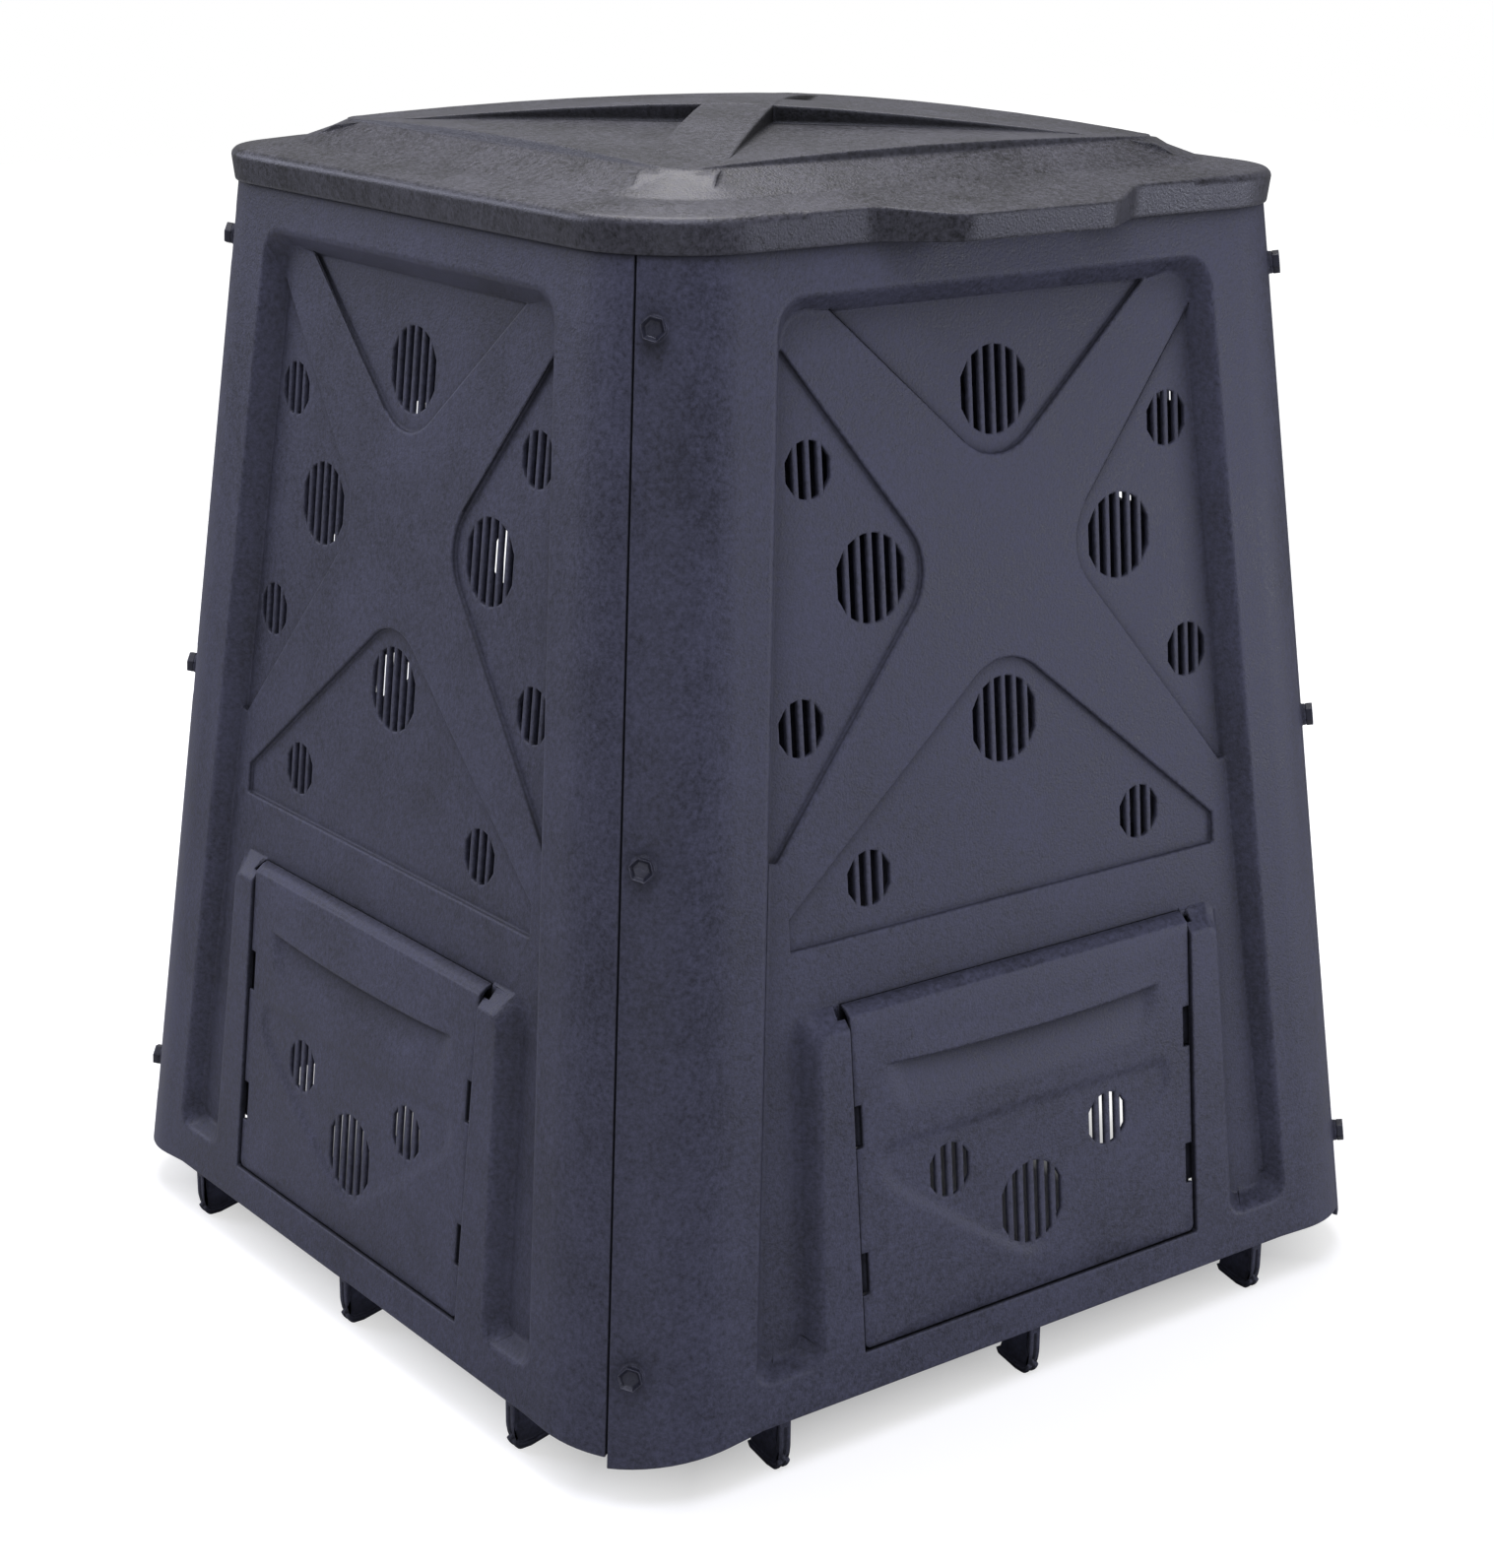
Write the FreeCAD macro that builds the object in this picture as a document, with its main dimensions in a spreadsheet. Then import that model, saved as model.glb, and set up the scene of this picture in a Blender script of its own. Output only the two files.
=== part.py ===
import FreeCAD, Part
import math
import os

import Sketcher

V = FreeCAD.Vector
doc = FreeCAD.newDocument("compost_bin")

# Driving dimensions, in millimetres and degrees. Half sizes are measured from the bin's middle, and
# levels from the ground. "up" sizes run up the leaning face from its lower line, and "across" sizes run
# sideways from the face's middle line.
sizes = doc.addObject("Spreadsheet::Sheet", "sizes")
DRIVING = [
    ("half_base", 340.6, "flat faces to the middle, at the lower line"),
    ("half_top", 264.9, "flat faces to the middle, at the panels' top"),
    ("lower_line", 31, "level that the faces are measured up from"),
    ("panel_top", 772, "level of the panels' upper edge"),
    ("corner_base", 84, "corner radius at the lower line"),
    ("corner_top", 66, "corner radius at the panels' top"),
    ("wall", 3.5, "wall of every moulded panel"),
    ("lip", 12, "width of the panels' inward rim"),
    ("lift", 6, "how far the flat faces end above the lower line"),
    ("lift_half", 231, "half width of that straight lower edge"),
    ("wrap_drop", 6, "slope of the lower edge under a wrap"),
    ("end_drop", 2.4, "slope of the lower edge at the other end"),
    ("recess_depth", 12, "recess behind the frame"),
    ("recess_draft", 38.4, "slope of the recess walls"),
    ("recess_low", 35.2, "recess lower edge, up"),
    ("recess_high", 698.6, "recess upper edge, up"),
    ("recess_half_low", 234.8, "recess half width at its lower edge"),
    ("recess_half_high", 175.6, "recess half width at its upper edge"),
    ("recess_corner", 26, "radius of the recess's upper corners"),
    ("channel_corner", 14, "radius of the channels' lower corners"),
    ("recess_rim", 6, "rounding of the recess edge"),
    ("pocket_depth", 3, "pockets behind the recess floor"),
    ("nose", 40, "radius of the pocket noses, round the large vents"),
    ("vee_vent_up", 628.5, "upper vent, up"),
    ("vee_slope", 40.9, "slope of the upper pocket's sides"),
    ("side_vent_up", 523.5, "side vents, up"),
    ("side_vent_across", 104, "side vents, across"),
    ("side_rise", 51.7, "slope of a side pocket's upper edge"),
    ("side_fall", 50.2, "slope of a side pocket's lower edge"),
    ("side_high", 667.8, "upper corner of a side pocket, up"),
    ("side_low", 360.3, "lower corner of a side pocket, up"),
    ("arch_vent_up", 418.5, "lower vent, up"),
    ("arch_slope", 38.9, "slope of the lower pocket's sides"),
    ("arch_low", 302.5, "lower pocket's straight edge, up"),
    ("arch_half", 182, "half width of that edge"),
    ("large_vent", 56, "diameter of the large vents"),
    ("small_vent", 36, "diameter of the small vents"),
    ("slot_pitch", 9.4, "slot to slot"),
    ("slot_width", 5.6, "width of the panels' slots"),
    ("high_vent_across", 149, "upper small vents, across"),
    ("high_vent_up", 595, "upper small vents, up"),
    ("mid_vent_across", 163.5, "middle small vents, across"),
    ("mid_vent_up", 439, "middle small vents, up"),
    ("low_vent_across", 116, "lower small vents, across"),
    ("low_vent_up", 336, "lower small vents, up"),
    ("jamb_inner", 148, "jambs' inner side, across"),
    ("jamb_outer_low", 183, "jambs' outer edge at the foot, across"),
    ("jamb_outer_high", 172.5, "jambs' outer edge at the top, across"),
    ("jamb_bend", 247.5, "where the jambs' face ends, up"),
    ("jamb_end", 263.1, "where the jambs meet the recess, up"),
    ("jamb_corner", 14, "radius of the jambs' outer upper corner"),
    ("sill_up", 33, "door opening's lower edge, up"),
    ("opening_high", 240, "door opening's upper edge, up"),
    ("groove_near", 5.2, "groove's outer side, behind the frame"),
    ("groove_far", 10.8, "groove's inner side, behind the frame"),
    ("door_gap", 1.5, "gap beside the door"),
    ("door_foot_gap", 1.1, "gap under the door"),
    ("door_back", 2, "door face behind the frame"),
    ("door_wall", 3, "wall of the door"),
    ("door_over", 21.8, "how far the door covers the wall over the opening"),
    ("door_lip_gap", 0.5, "door lip to the recess floor"),
    ("door_bend", 12, "radius of the door's upper bend"),
    ("door_lean", 2.5, "how far that end leans back"),
    ("door_corner", 5, "radius of the door's lower corners"),
    ("grip_up", 220, "edge of the finger grip, up"),
    ("grip_low", 187, "lower end of the finger grip, up"),
    ("grip_half", 118, "half width of the finger grip"),
    ("grip_depth", 5.5, "depth of the finger grip"),
    ("grip_corner", 14, "radius of its lower corners"),
    ("relief_depth", 1.6, "depth of the door's relief"),
    ("relief_high", 160, "relief's straight edge, up"),
    ("relief_corner", 14, "radius of the relief's upper corners"),
    ("relief_slope", 45.7, "slope of the relief's sides"),
    ("door_vent_up", 94.3, "door's large vent, up"),
    ("door_small_across", 69.5, "door's small vents, across"),
    ("door_small_up", 134.8, "door's small vents, up"),
    ("door_slot_width", 4.6, "width of the door's slots"),
    ("hook_low", 70.1, "lower hooks, up"),
    ("hook_high", 168.1, "upper hooks, up"),
    ("hook_length", 28.3, "length of a hook"),
    ("hook_reach", 4.5, "how far a hook goes into the jamb"),
    ("hook_clear", 1, "hook to the groove's sides"),
    ("window_width", 6, "width of the window in front of a hook"),
    ("seam_angle", 35, "seam on the corner, from the side face's normal"),
    ("seam_gap", 1.2, "open seam"),
    ("lap_angle", 62, "end of the tucked flange, from the same normal"),
    ("lap_gap", 0.3, "wrap to the tucked flange"),
    ("foot_across", 211, "outer feet, across"),
    ("foot_back", 4.5, "feet behind the face's lower line"),
    ("foot_depth", 62, "length of the feet on the ground"),
    ("foot_width", 9, "width of a foot's flange"),
    ("foot_web", 5, "thickness of a foot's web"),
    ("foot_flange", 4, "thickness of a foot's flange"),
    ("foot_bend", 18, "radius of the feet's outer corner"),
    ("foot_groove", 2.4, "width of the groove down a foot"),
    ("foot_rise", 7.6, "slope of a foot's underside behind its flat pad"),
    ("foot_pad", 32, "length of that pad"),
    ("foot_height", 106, "where the outer feet's webs end on the wall"),
    ("bolt_low", 88, "lowest bolts, level"),
    ("bolt_step", 312.5, "bolt to bolt, in level"),
    ("shank", 6, "diameter of the bolts"),
    ("bolt_hole", 6.6, "diameter of the bolt holes"),
    ("hex_flats", 10.5, "across the flats of heads and nuts"),
    ("head_height", 5, "height of a bolt's head"),
    ("boss", 15, "diameter of the raised seat under a head"),
    ("boss_height", 3, "height of that seat"),
    ("spot", 16, "diameter of the flat under a nut"),
    ("nut_height", 5, "height of a nut"),
    ("bolt_length", 18, "length of a bolt's shank"),
    ("thread_clear", 0.1, "shank to the nut's bore"),
    ("lid_half", 273, "lid's skirt to the middle"),
    ("lid_corner", 76, "radius of the lid's corners"),
    ("skirt_low", 754, "lower edge of the skirt"),
    ("skirt_high", 775.4, "upper edge of the skirt"),
    ("skirt_edge", 3.5, "bevel of the skirt's upper edge"),
    ("flange_inner", 236, "inner end of the flange, to the middle"),
    ("flange_high", 780.4, "level of that end"),
    ("shoulder_half", 210, "shoulder to the middle"),
    ("shoulder_high", 789.4, "level of the shoulder"),
    ("rim_half", 199, "rim to the middle"),
    ("rim_high", 794.2, "level of the rim at its corners"),
    ("rim_corner", 20, "corner radius at the rim"),
    ("rim_lean", 4, "how far the sides above the rim lean in"),
    ("crown", 5, "rise of the rim from its corners to its middles"),
    ("ridge_width", 48, "width of the diagonal ridges"),
    ("ridge_out", 196, "outer end of the ridges' arch, from the middle along each side"),
    ("ridge_high", 812, "level of the top of the lid"),
    ("ridge_fall", 20.4, "fall of the ridges from there to their outer ends"),
    ("ridge_run", 8, "how far the ends slant down, along each side"),
    ("bulge_reach", 30, "how far the grips stand out from the skirt"),
    ("bulge_half", 105, "half width of a grip at the skirt"),
    ("bulge_front", 62, "half width of its front"),
    ("bulge_bend", 34, "radius of its plan corners"),
]
for row, (word, number, note) in enumerate(DRIVING, start=1):
    sizes.set("A%d" % row, word)
    sizes.set("B%d" % row, str(number))
    sizes.setAlias("B%d" % row, word)
    sizes.set("C%d" % row, note)
doc.recompute()
WORDS = {word for word, number, note in DRIVING}


def value(word):
    return float(sizes.get(word))


def formula(text):
    """The same formula with each driving dimension read from the sheet."""
    written = ""
    word = ""
    for letter in str(text) + " ":
        if letter.isalnum() or letter == "_":
            word += letter
            continue
        written += "sizes." + word if word in WORDS else word
        written += letter
        word = ""
    return written.strip()


def bind(item, **formulas):
    """Bind properties to formulas; x, y and z stand for the placement's base."""
    for name, text in formulas.items():
        path = "Placement.Base." + name if name in ("x", "y", "z") else name
        item.setExpression(path, formula(text))
    return item


def polygon(name, points, turn=None):
    """A closed sketch whose corners sit at the given pairs of formulas."""
    sketch = doc.addObject("Sketcher::SketchObject", name)
    if turn is not None:
        sketch.Placement = FreeCAD.Placement(V(0, 0, 0), turn)
    count = len(points)
    starts = []
    for index in range(count):
        angle = 2 * math.pi * (index + 0.3) / count
        starts.append(V(100 * math.cos(angle), 100 * math.sin(angle), 0))
    for index in range(count):
        sketch.addGeometry(Part.LineSegment(starts[index], starts[(index + 1) % count]))
    for index in range(count):
        sketch.addConstraint(Sketcher.Constraint("Coincident", index, 2, (index + 1) % count, 1))
    for index, (across, along) in enumerate(points):
        first = sketch.addConstraint(Sketcher.Constraint("DistanceX", index, 1, starts[index].x))
        sketch.setExpression("Constraints[%d]" % first, formula(across))
        second = sketch.addConstraint(Sketcher.Constraint("DistanceY", index, 1, starts[index].y))
        sketch.setExpression("Constraints[%d]" % second, formula(along))
    return sketch


def mirrored(points, middle_point=()):
    """Points on the right side, one on the middle line if given, and the same again on the left."""
    return points + list(middle_point) + [("-(%s)" % across, along) for across, along in reversed(points)]


def extruded(name, sketch, length, taper=None, both_ways=False):
    solid = doc.addObject("Part::Extrusion", name)
    solid.Base = sketch
    solid.DirMode = "Normal"
    solid.Solid = True
    solid.Symmetric = both_ways
    bind(solid, LengthFwd=length)
    if taper is not None:
        bind(solid, TaperAngle=taper)
    return solid


def cut(name, base, tool):
    result = doc.addObject("Part::Cut", name)
    result.Base = base
    result.Tool = tool
    return result


def common(name, base, tool):
    result = doc.addObject("Part::Common", name)
    result.Base = base
    result.Tool = tool
    return result


def fused(name, shapes):
    result = doc.addObject("Part::MultiFuse", name)
    result.Shapes = shapes
    return result


def filleted(name, base, radius, chosen):
    """Round the edges for which chosen(edge) is true; radius is one size or a start and an end."""
    doc.recompute()
    first, last = radius if isinstance(radius, tuple) else (radius, radius)
    picked = [i for i, edge in enumerate(base.Shape.Edges, start=1) if chosen(edge)]
    if not picked:
        raise ValueError("no edge to round for " + name)
    result = doc.addObject("Part::Fillet", name)
    result.Base = base
    result.Edges = [(i, first, last) for i in picked]
    return result


def box(name, **formulas):
    return bind(doc.addObject("Part::Box", name), **formulas)


def cylinder(name, **formulas):
    return bind(doc.addObject("Part::Cylinder", name), **formulas)


def placed(name, source, **formulas):
    """The same shape again at another place."""
    result = doc.addObject("Part::Compound", name)
    result.Links = [source]
    return bind(result, **formulas)


def turned(name, source, degrees):
    """The same shape again, turned about the bin's upright middle line."""
    result = placed(name, source)
    result.Placement = FreeCAD.Placement(V(0, 0, 0), FreeCAD.Rotation(V(0, 0, 1), degrees))
    return result


def flipped(name, source, normal):
    """The mirror image through a plane at the bin's middle line."""
    result = doc.addObject("Part::Mirroring", name)
    result.Source = source
    result.Normal = V(*normal)
    return result


def middle(edge):
    return edge.valueAt((edge.FirstParameter + edge.LastParameter) / 2)


def direction(edge):
    step = edge.Vertexes[-1].Point - edge.Vertexes[0].Point
    return step.normalize() if step.Length > 1e-6 else V(0, 0, 0)


# The body's outer form: a square tapering block whose corners are leaning cones, tangent to both faces.
# An inset, measured at right angles to the face, gives the inner forms.
RISE = "(panel_top - lower_line)"
SLOPE = "((half_base - half_top) / %s)" % RISE
LEAN_FORMULA = "atan(%s)" % SLOPE
LEAN = math.atan((value("half_base") - value("half_top")) / (value("panel_top") - value("lower_line")))
INWARD = "((half_base - corner_base - half_top + corner_top) / %s)" % RISE
inward = (value("half_base") - value("corner_base") - value("half_top") + value("corner_top")) / (
    value("panel_top") - value("lower_line"))
UPRIGHT = FreeCAD.Rotation(V(1, 0, 0), 90)
SIDEWAYS = FreeCAD.Rotation(V(1, 1, 1), 120)
MARGIN = "20"


def centre_at(level):
    """How far a corner's centre line stands from the middle, in x and in y, at a level."""
    return "(half_base - corner_base - %s * (%s - lower_line))" % (INWARD, level)


def along_corner(name, sketch, side_x, side_y, low, high):
    """Extrude a level sketch along a corner's centre line, from one level to another."""
    solid = extruded(name, sketch, "(%s - (%s)) * sqrt(1 + 2 * %s ^ 2)" % (high, low, INWARD))
    solid.DirMode = "Custom"
    solid.Dir = V(-side_x * inward, -side_y * inward, 1)
    bind(sketch, z=low)
    return solid


def tapering_block(name, inset, low, high):
    """The bin's block between two levels, set in by a depth on all four faces."""
    block = doc.addObject("Part::Wedge", name + "_square")
    block.Placement = FreeCAD.Placement(V(0, 0, 0), UPRIGHT)
    at_low = "half_base - (%s - lower_line) * %s - (%s) / cos(%s)" % (low, SLOPE, inset, LEAN_FORMULA)
    at_high = "half_base - (%s - lower_line) * %s - (%s) / cos(%s)" % (high, SLOPE, inset, LEAN_FORMULA)
    bind(block, Ymin=low, Ymax=high, Xmin="-(%s)" % at_low, Xmax=at_low, Zmin="-(%s)" % at_low, Zmax=at_low)
    bind(block, X2min="-(%s)" % at_high, X2max=at_high, Z2min="-(%s)" % at_high, Z2max=at_high)

    below = "(%s - %s)" % (low, MARGIN)
    above = "(%s + %s)" % (high, MARGIN)
    tangent = "atan(sin({0}) * {1} / (cos({0}) + sin({0}) * {1}))".format(LEAN_FORMULA, INWARD)
    centre = centre_at(below)
    outline = polygon(name + "_corner_outline", [
        (centre, centre),
        ("%s + half_base * cos(%s)" % (centre, tangent), "%s + half_base * sin(%s)" % (centre, tangent)),
        (centre + " + half_base", centre + " + half_base"),
        ("%s + half_base * sin(%s)" % (centre, tangent), "%s + half_base * cos(%s)" % (centre, tangent)),
    ])
    prism = along_corner(name + "_corner_prism", outline, 1, 1, below, above)
    stretch = "sqrt(1 + 2 * %s ^ 2)" % INWARD
    narrowing = "((corner_top - corner_base) * cos(%s) / (%s * %s))" % (LEAN_FORMULA, RISE, stretch)
    root = "sqrt(1 - %s ^ 2)" % narrowing
    start = "(corner_base * cos(%s) - (%s))" % (LEAN_FORMULA, inset)
    radius = "{start} * {root} + {slope} / {root} * ((%s - lower_line) * {stretch} + {slope} * {start})".format(
        start=start, root=root, slope=narrowing, stretch=stretch)
    cone_low = "(%s - 4 * %s)" % (low, MARGIN)
    cone_high = "(%s + 4 * %s)" % (high, MARGIN)
    cone = doc.addObject("Part::Cone", name + "_corner_cone")
    axis = V(-inward, -inward, 1)
    cone.Placement = FreeCAD.Placement(V(0, 0, 0), FreeCAD.Rotation(V(0, 0, 1), axis))
    bind(cone, x=centre_at(cone_low), y=centre_at(cone_low), z=cone_low)
    bind(cone, Radius1=radius % cone_low, Radius2=radius % cone_high,
         Height="(%s - %s) * %s" % (cone_high, cone_low, stretch))
    corner = cut(name + "_corner", prism, cone)
    two = fused(name + "_corners_right", [corner, flipped(name + "_corner_front", corner, (0, 1, 0))])
    four = fused(name + "_corners", [two, flipped(name + "_corners_left", two, (1, 0, 0))])
    return cut(name + "_form", block, four)


WALL = value("wall")
LOWEST = "(lower_line - lift)"
outer_form = tapering_block("outer", "0", LOWEST, "panel_top")
inner_form = tapering_block("inner", "wall", "(%s - 1)" % LOWEST, "(panel_top - wall)")
flange_form = tapering_block("flange", "(wall + lap_gap)", LOWEST, "(panel_top - wall - lap_gap)")
core_form = tapering_block("core", "(2 * wall + lap_gap)", "(%s - 1)" % LOWEST, "(panel_top + 1)")


# The face. Its tools are drawn flat, x across, y up the slope and z out of the face, and then stood up
# on the leaning plane of the front.
def on_face(tool):
    tool.Placement = FreeCAD.Placement(V(0, 0, 0), FreeCAD.Rotation(V(1, 0, 0), 90 - math.degrees(LEAN)))
    return bind(tool, y="-half_base", z="lower_line")


RIM_LEAN = (value("recess_half_low") - value("recess_half_high")) / (
    value("recess_high") - value("recess_low"))


def recess_tool(name, inset):
    """The recess with its deeper pockets, grown by an inset for the inner side of the wall."""
    deep = "(recess_depth + pocket_depth + %s)" % inset
    grown = "(%s / cos(recess_draft))" % inset
    run = "(%s * tan(recess_draft) - %s)" % (deep, grown)
    over = "(4 * tan(recess_draft) + %s)" % grown
    lengthways = extruded(name + "_ends", polygon(name + "_ends_section", [
        ("recess_low - %s" % over, "4"),
        ("recess_low + %s" % run, "-%s" % deep),
        ("recess_high - %s" % run, "-%s" % deep),
        ("recess_high + %s" % over, "4"),
    ], SIDEWAYS), "3 * half_base", both_ways=True)
    halves = []
    for side, sign in (("right", 1), ("left", -1)):
        section = polygon("%s_%s_section" % (name, side), [
            ("%d * (recess_half_low + %s)" % (sign, over), "4"),
            ("%d * (recess_half_low - %s)" % (sign, run), "-%s" % deep),
            ("%d * -2 * half_base" % sign, "-%s" % deep),
            ("%d * -2 * half_base" % sign, "4"),
        ], UPRIGHT)
        bind(section, y="recess_low")
        half = extruded("%s_%s_half" % (name, side), section, "2 * recess_high")
        half.DirMode = "Custom"
        half.Dir = V(-sign * RIM_LEAN, 1, 0)
        half.Reversed = False
        bind(half, LengthFwd="recess_high * 1.2", LengthRev="recess_high * 0.2")
        halves.append(half)
    whole = common(name + "_whole", lengthways, common(name + "_sides", halves[0], halves[1]))
    sharp = cut(name + "_sharp", whole, island(name + "_island", inset, deep))
    upper = filleted(name + "_upper", sharp, value("recess_corner"), upper_corner)
    lower = filleted(name + "_lower", upper, value("channel_corner"), lower_corner)
    slanted = filleted(name + "_deep", lower, value("jamb_corner"), jamb_corner)
    nose = "(nose + %s)" % inset
    pocket_sketches = [
        polygon(name + "_vee", mirrored([
            ("recess_half_low",
             "vee_vent_up - %s / cos(vee_slope) + recess_half_low * tan(vee_slope)" % nose),
        ], [("0", "vee_vent_up - %s / cos(vee_slope)" % nose)])),
        polygon(name + "_arch", mirrored([
            ("arch_half + %s" % inset, "arch_low - %s" % inset),
            ("arch_half + %s" % inset, "arch_vent_up + %s / cos(arch_slope)"
             " - (arch_half + %s) * tan(arch_slope)" % (nose, inset)),
        ], [("0", "arch_vent_up + %s / cos(arch_slope)" % nose)])),
    ]
    apex = "(side_vent_across - %s / sin(side_rise))" % nose
    high = "(side_high + %s)" % inset
    low = "(side_low - %s)" % inset
    for side, sign in (("right", ""), ("left", "-")):
        pocket_sketches.append(polygon("%s_%s" % (name, side), [
            (sign + apex, "side_vent_up"),
            ("%s(%s + (%s - side_vent_up) / tan(side_rise))" % (sign, apex, high), high),
            (sign + "recess_half_low", high),
            (sign + "recess_half_low", low),
            ("%s(%s + (side_vent_up - %s) / tan(side_fall))" % (sign, apex, low), low),
        ]))
    slab = box(name + "_slab", Length="3 * recess_half_low", Width="recess_high + 40",
               Height="pocket_depth", x="-1.5 * recess_half_low", y="-20",
               z="-(recess_depth + pocket_depth + %s)" % inset)
    pockets = []
    for sketch in pocket_sketches:
        bind(sketch, z="-(recess_depth + pocket_depth + %s)" % inset)
        sharp = extruded(sketch.Name + "_sharp", sketch, "pocket_depth")
        radius = value("nose") + (WALL if inset == "wall" else 0)
        pockets.append(filleted(sketch.Name + "_pocket", sharp, radius, nose_edge))
    lands = cut(name + "_lands", slab, fused(name + "_pockets", pockets))
    return cut(name, slanted, lands)


def nose_edge(edge):
    """The slanted edge at the point of a pocket."""
    spot = middle(edge)
    if abs(direction(edge).z) < 0.3:
        return False
    at_middle = abs(spot.x) < 1 and abs(spot.y - value("side_vent_up")) < 150
    at_side = abs(spot.y - value("side_vent_up")) < 1 and abs(spot.x) < value("side_vent_across")
    return at_middle or at_side


def upper_corner(edge):
    """A leaning edge between two walls of the recess, at its upper end."""
    return abs(direction(edge).z) > 0.3 and middle(edge).y > value("recess_high") - 40


def lower_corner(edge):
    return abs(direction(edge).z) > 0.3 and middle(edge).y < value("recess_low") + 40


def jamb_corner(edge):
    return abs(direction(edge).z) > 0.3 and abs(middle(edge).y - value("jamb_end")) < 40


# What the recess leaves standing round the door is an island, flush with the frame. Its outer sides and
# its upper end slope down to the recess floor.
JAMB_LEAN = (value("jamb_outer_low") - value("jamb_outer_high")) / value("jamb_bend")


def island(name, inset, deep):
    top = 6
    run = "(%s + 1)" % deep
    side = "(jamb_outer_low - %s / cos(recess_draft))" % inset
    slant = "atan((jamb_end - jamb_bend) / recess_depth)"
    end = "(jamb_bend - %s / cos(%s))" % (inset, slant)
    lengthways = extruded(name + "_length", polygon(name + "_length_section", [
        ("-60", "%d" % top),
        ("%s - %d * tan(%s)" % (end, top, slant), "%d" % top),
        ("%s + %s * tan(%s)" % (end, run, slant), "-%s" % run),
        ("-60", "-%s" % run),
    ], SIDEWAYS), "3 * half_base", both_ways=True)
    halves = []
    for label, sign in (("right", 1), ("left", -1)):
        section = polygon("%s_%s_section" % (name, label), [
            ("%d * (%s - %d * tan(recess_draft))" % (sign, side, top), "%d" % top),
            ("%d * (%s + %s * tan(recess_draft))" % (sign, side, run), "-%s" % run),
            ("%d * -2 * half_base" % sign, "-%s" % run),
            ("%d * -2 * half_base" % sign, "%d" % top),
        ], UPRIGHT)
        half = extruded("%s_%s_half" % (name, label), section, "jamb_end * 1.4")
        half.DirMode = "Custom"
        half.Dir = V(-sign * JAMB_LEAN, 1, 0)
        bind(half, LengthRev="70")
        halves.append(half)
    return common(name, lengthways, common(name + "_sides", halves[0], halves[1]))


recess_outer = recess_tool("recess_outer", "0")
recess_inner = recess_tool("recess_inner", "wall")


def recess_rim(edge):
    """The edges of the recess that lie in the plane of the frame."""
    spot = recess_outer.Placement.inverse().multVec(middle(edge))
    half = value("recess_half_low") - RIM_LEAN * (spot.y - value("recess_low"))
    inside = abs(spot.x) < half + 1 and value("recess_low") - 1 < spot.y < value("recess_high") + 1
    return abs(spot.z) < 0.05 and inside


# The wall of a face is what lies between its outer skin and its inner one. A bay for the door is cut
# through the island down to the recess floor and leaves the two hollow jambs and the sill.
def door_bay(name, inset):
    reach = "(jamb_inner + %s)" % inset
    space = box(name + "_space", Length="2 * %s" % reach, Width="jamb_end + 6 - sill_up + %s" % inset,
                Height="recess_depth + %s + 10" % inset, x="-%s" % reach, y="sill_up - %s" % inset,
                z="-(recess_depth + %s)" % inset)
    return on_face(placed(name, space))


outer_cut = cut("outer_cut", outer_form, on_face(recess_outer))
outer_rim = filleted("outer_rim", outer_cut, value("recess_rim"), recess_rim)
inner_cut = cut("inner_cut", inner_form, on_face(recess_inner))
outer_skin = cut("outer_skin", outer_rim, door_bay("bay_outside", "0"))
inner_skin = cut("inner_skin", inner_cut, door_bay("bay_inside", "wall"))
doc.recompute()
mouth = tapering_block("mouth", "lip", "(panel_top - 2 * wall)", "(panel_top + wall)")
shell = cut("shell", cut("shell_walls", outer_skin, inner_skin), mouth)
doc.recompute()


# Vents: a round field of upright slots, cut through. The slots' corners lie on one circle.
def grille(name, diameter, slots, width, depth):
    bars = []
    for index in range(slots):
        offset = index - (slots - 1) / 2
        near = "(%s * slot_pitch - %s / 2)" % (offset, width)
        far = "(%s * slot_pitch + %s / 2)" % (offset, width)
        near_half = "sqrt((%s / 2) ^ 2 - %s ^ 2)" % (diameter, near)
        far_half = "sqrt((%s / 2) ^ 2 - %s ^ 2)" % (diameter, far)
        slot = polygon("%s_slot_%d" % (name, index), [
            (near, "-" + near_half), (far, "-" + far_half), (far, far_half), (near, near_half)])
        bars.append(extruded("%s_bar_%d" % (name, index), bind(slot, z="-%s" % depth), depth))
    return fused(name, bars)


VENT_REACH = "(recess_depth + pocket_depth + wall + 4)"
large_grille = grille("large_grille", "large_vent", 6, "slot_width", VENT_REACH)
small_grille = grille("small_grille", "small_vent", 4, "slot_width", VENT_REACH)
vents = [
    placed("vent_top", large_grille, y="vee_vent_up"),
    placed("vent_arch", large_grille, y="arch_vent_up"),
]
for side, sign in (("right", ""), ("left", "-")):
    vents.append(placed("vent_side_" + side, large_grille, x=sign + "side_vent_across", y="side_vent_up"))
    vents.append(placed("vent_high_" + side, small_grille, x=sign + "high_vent_across", y="high_vent_up"))
    vents.append(placed("vent_mid_" + side, small_grille, x=sign + "mid_vent_across", y="mid_vent_up"))
    vents.append(placed("vent_low_" + side, small_grille, x=sign + "low_vent_across", y="low_vent_up"))

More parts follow.
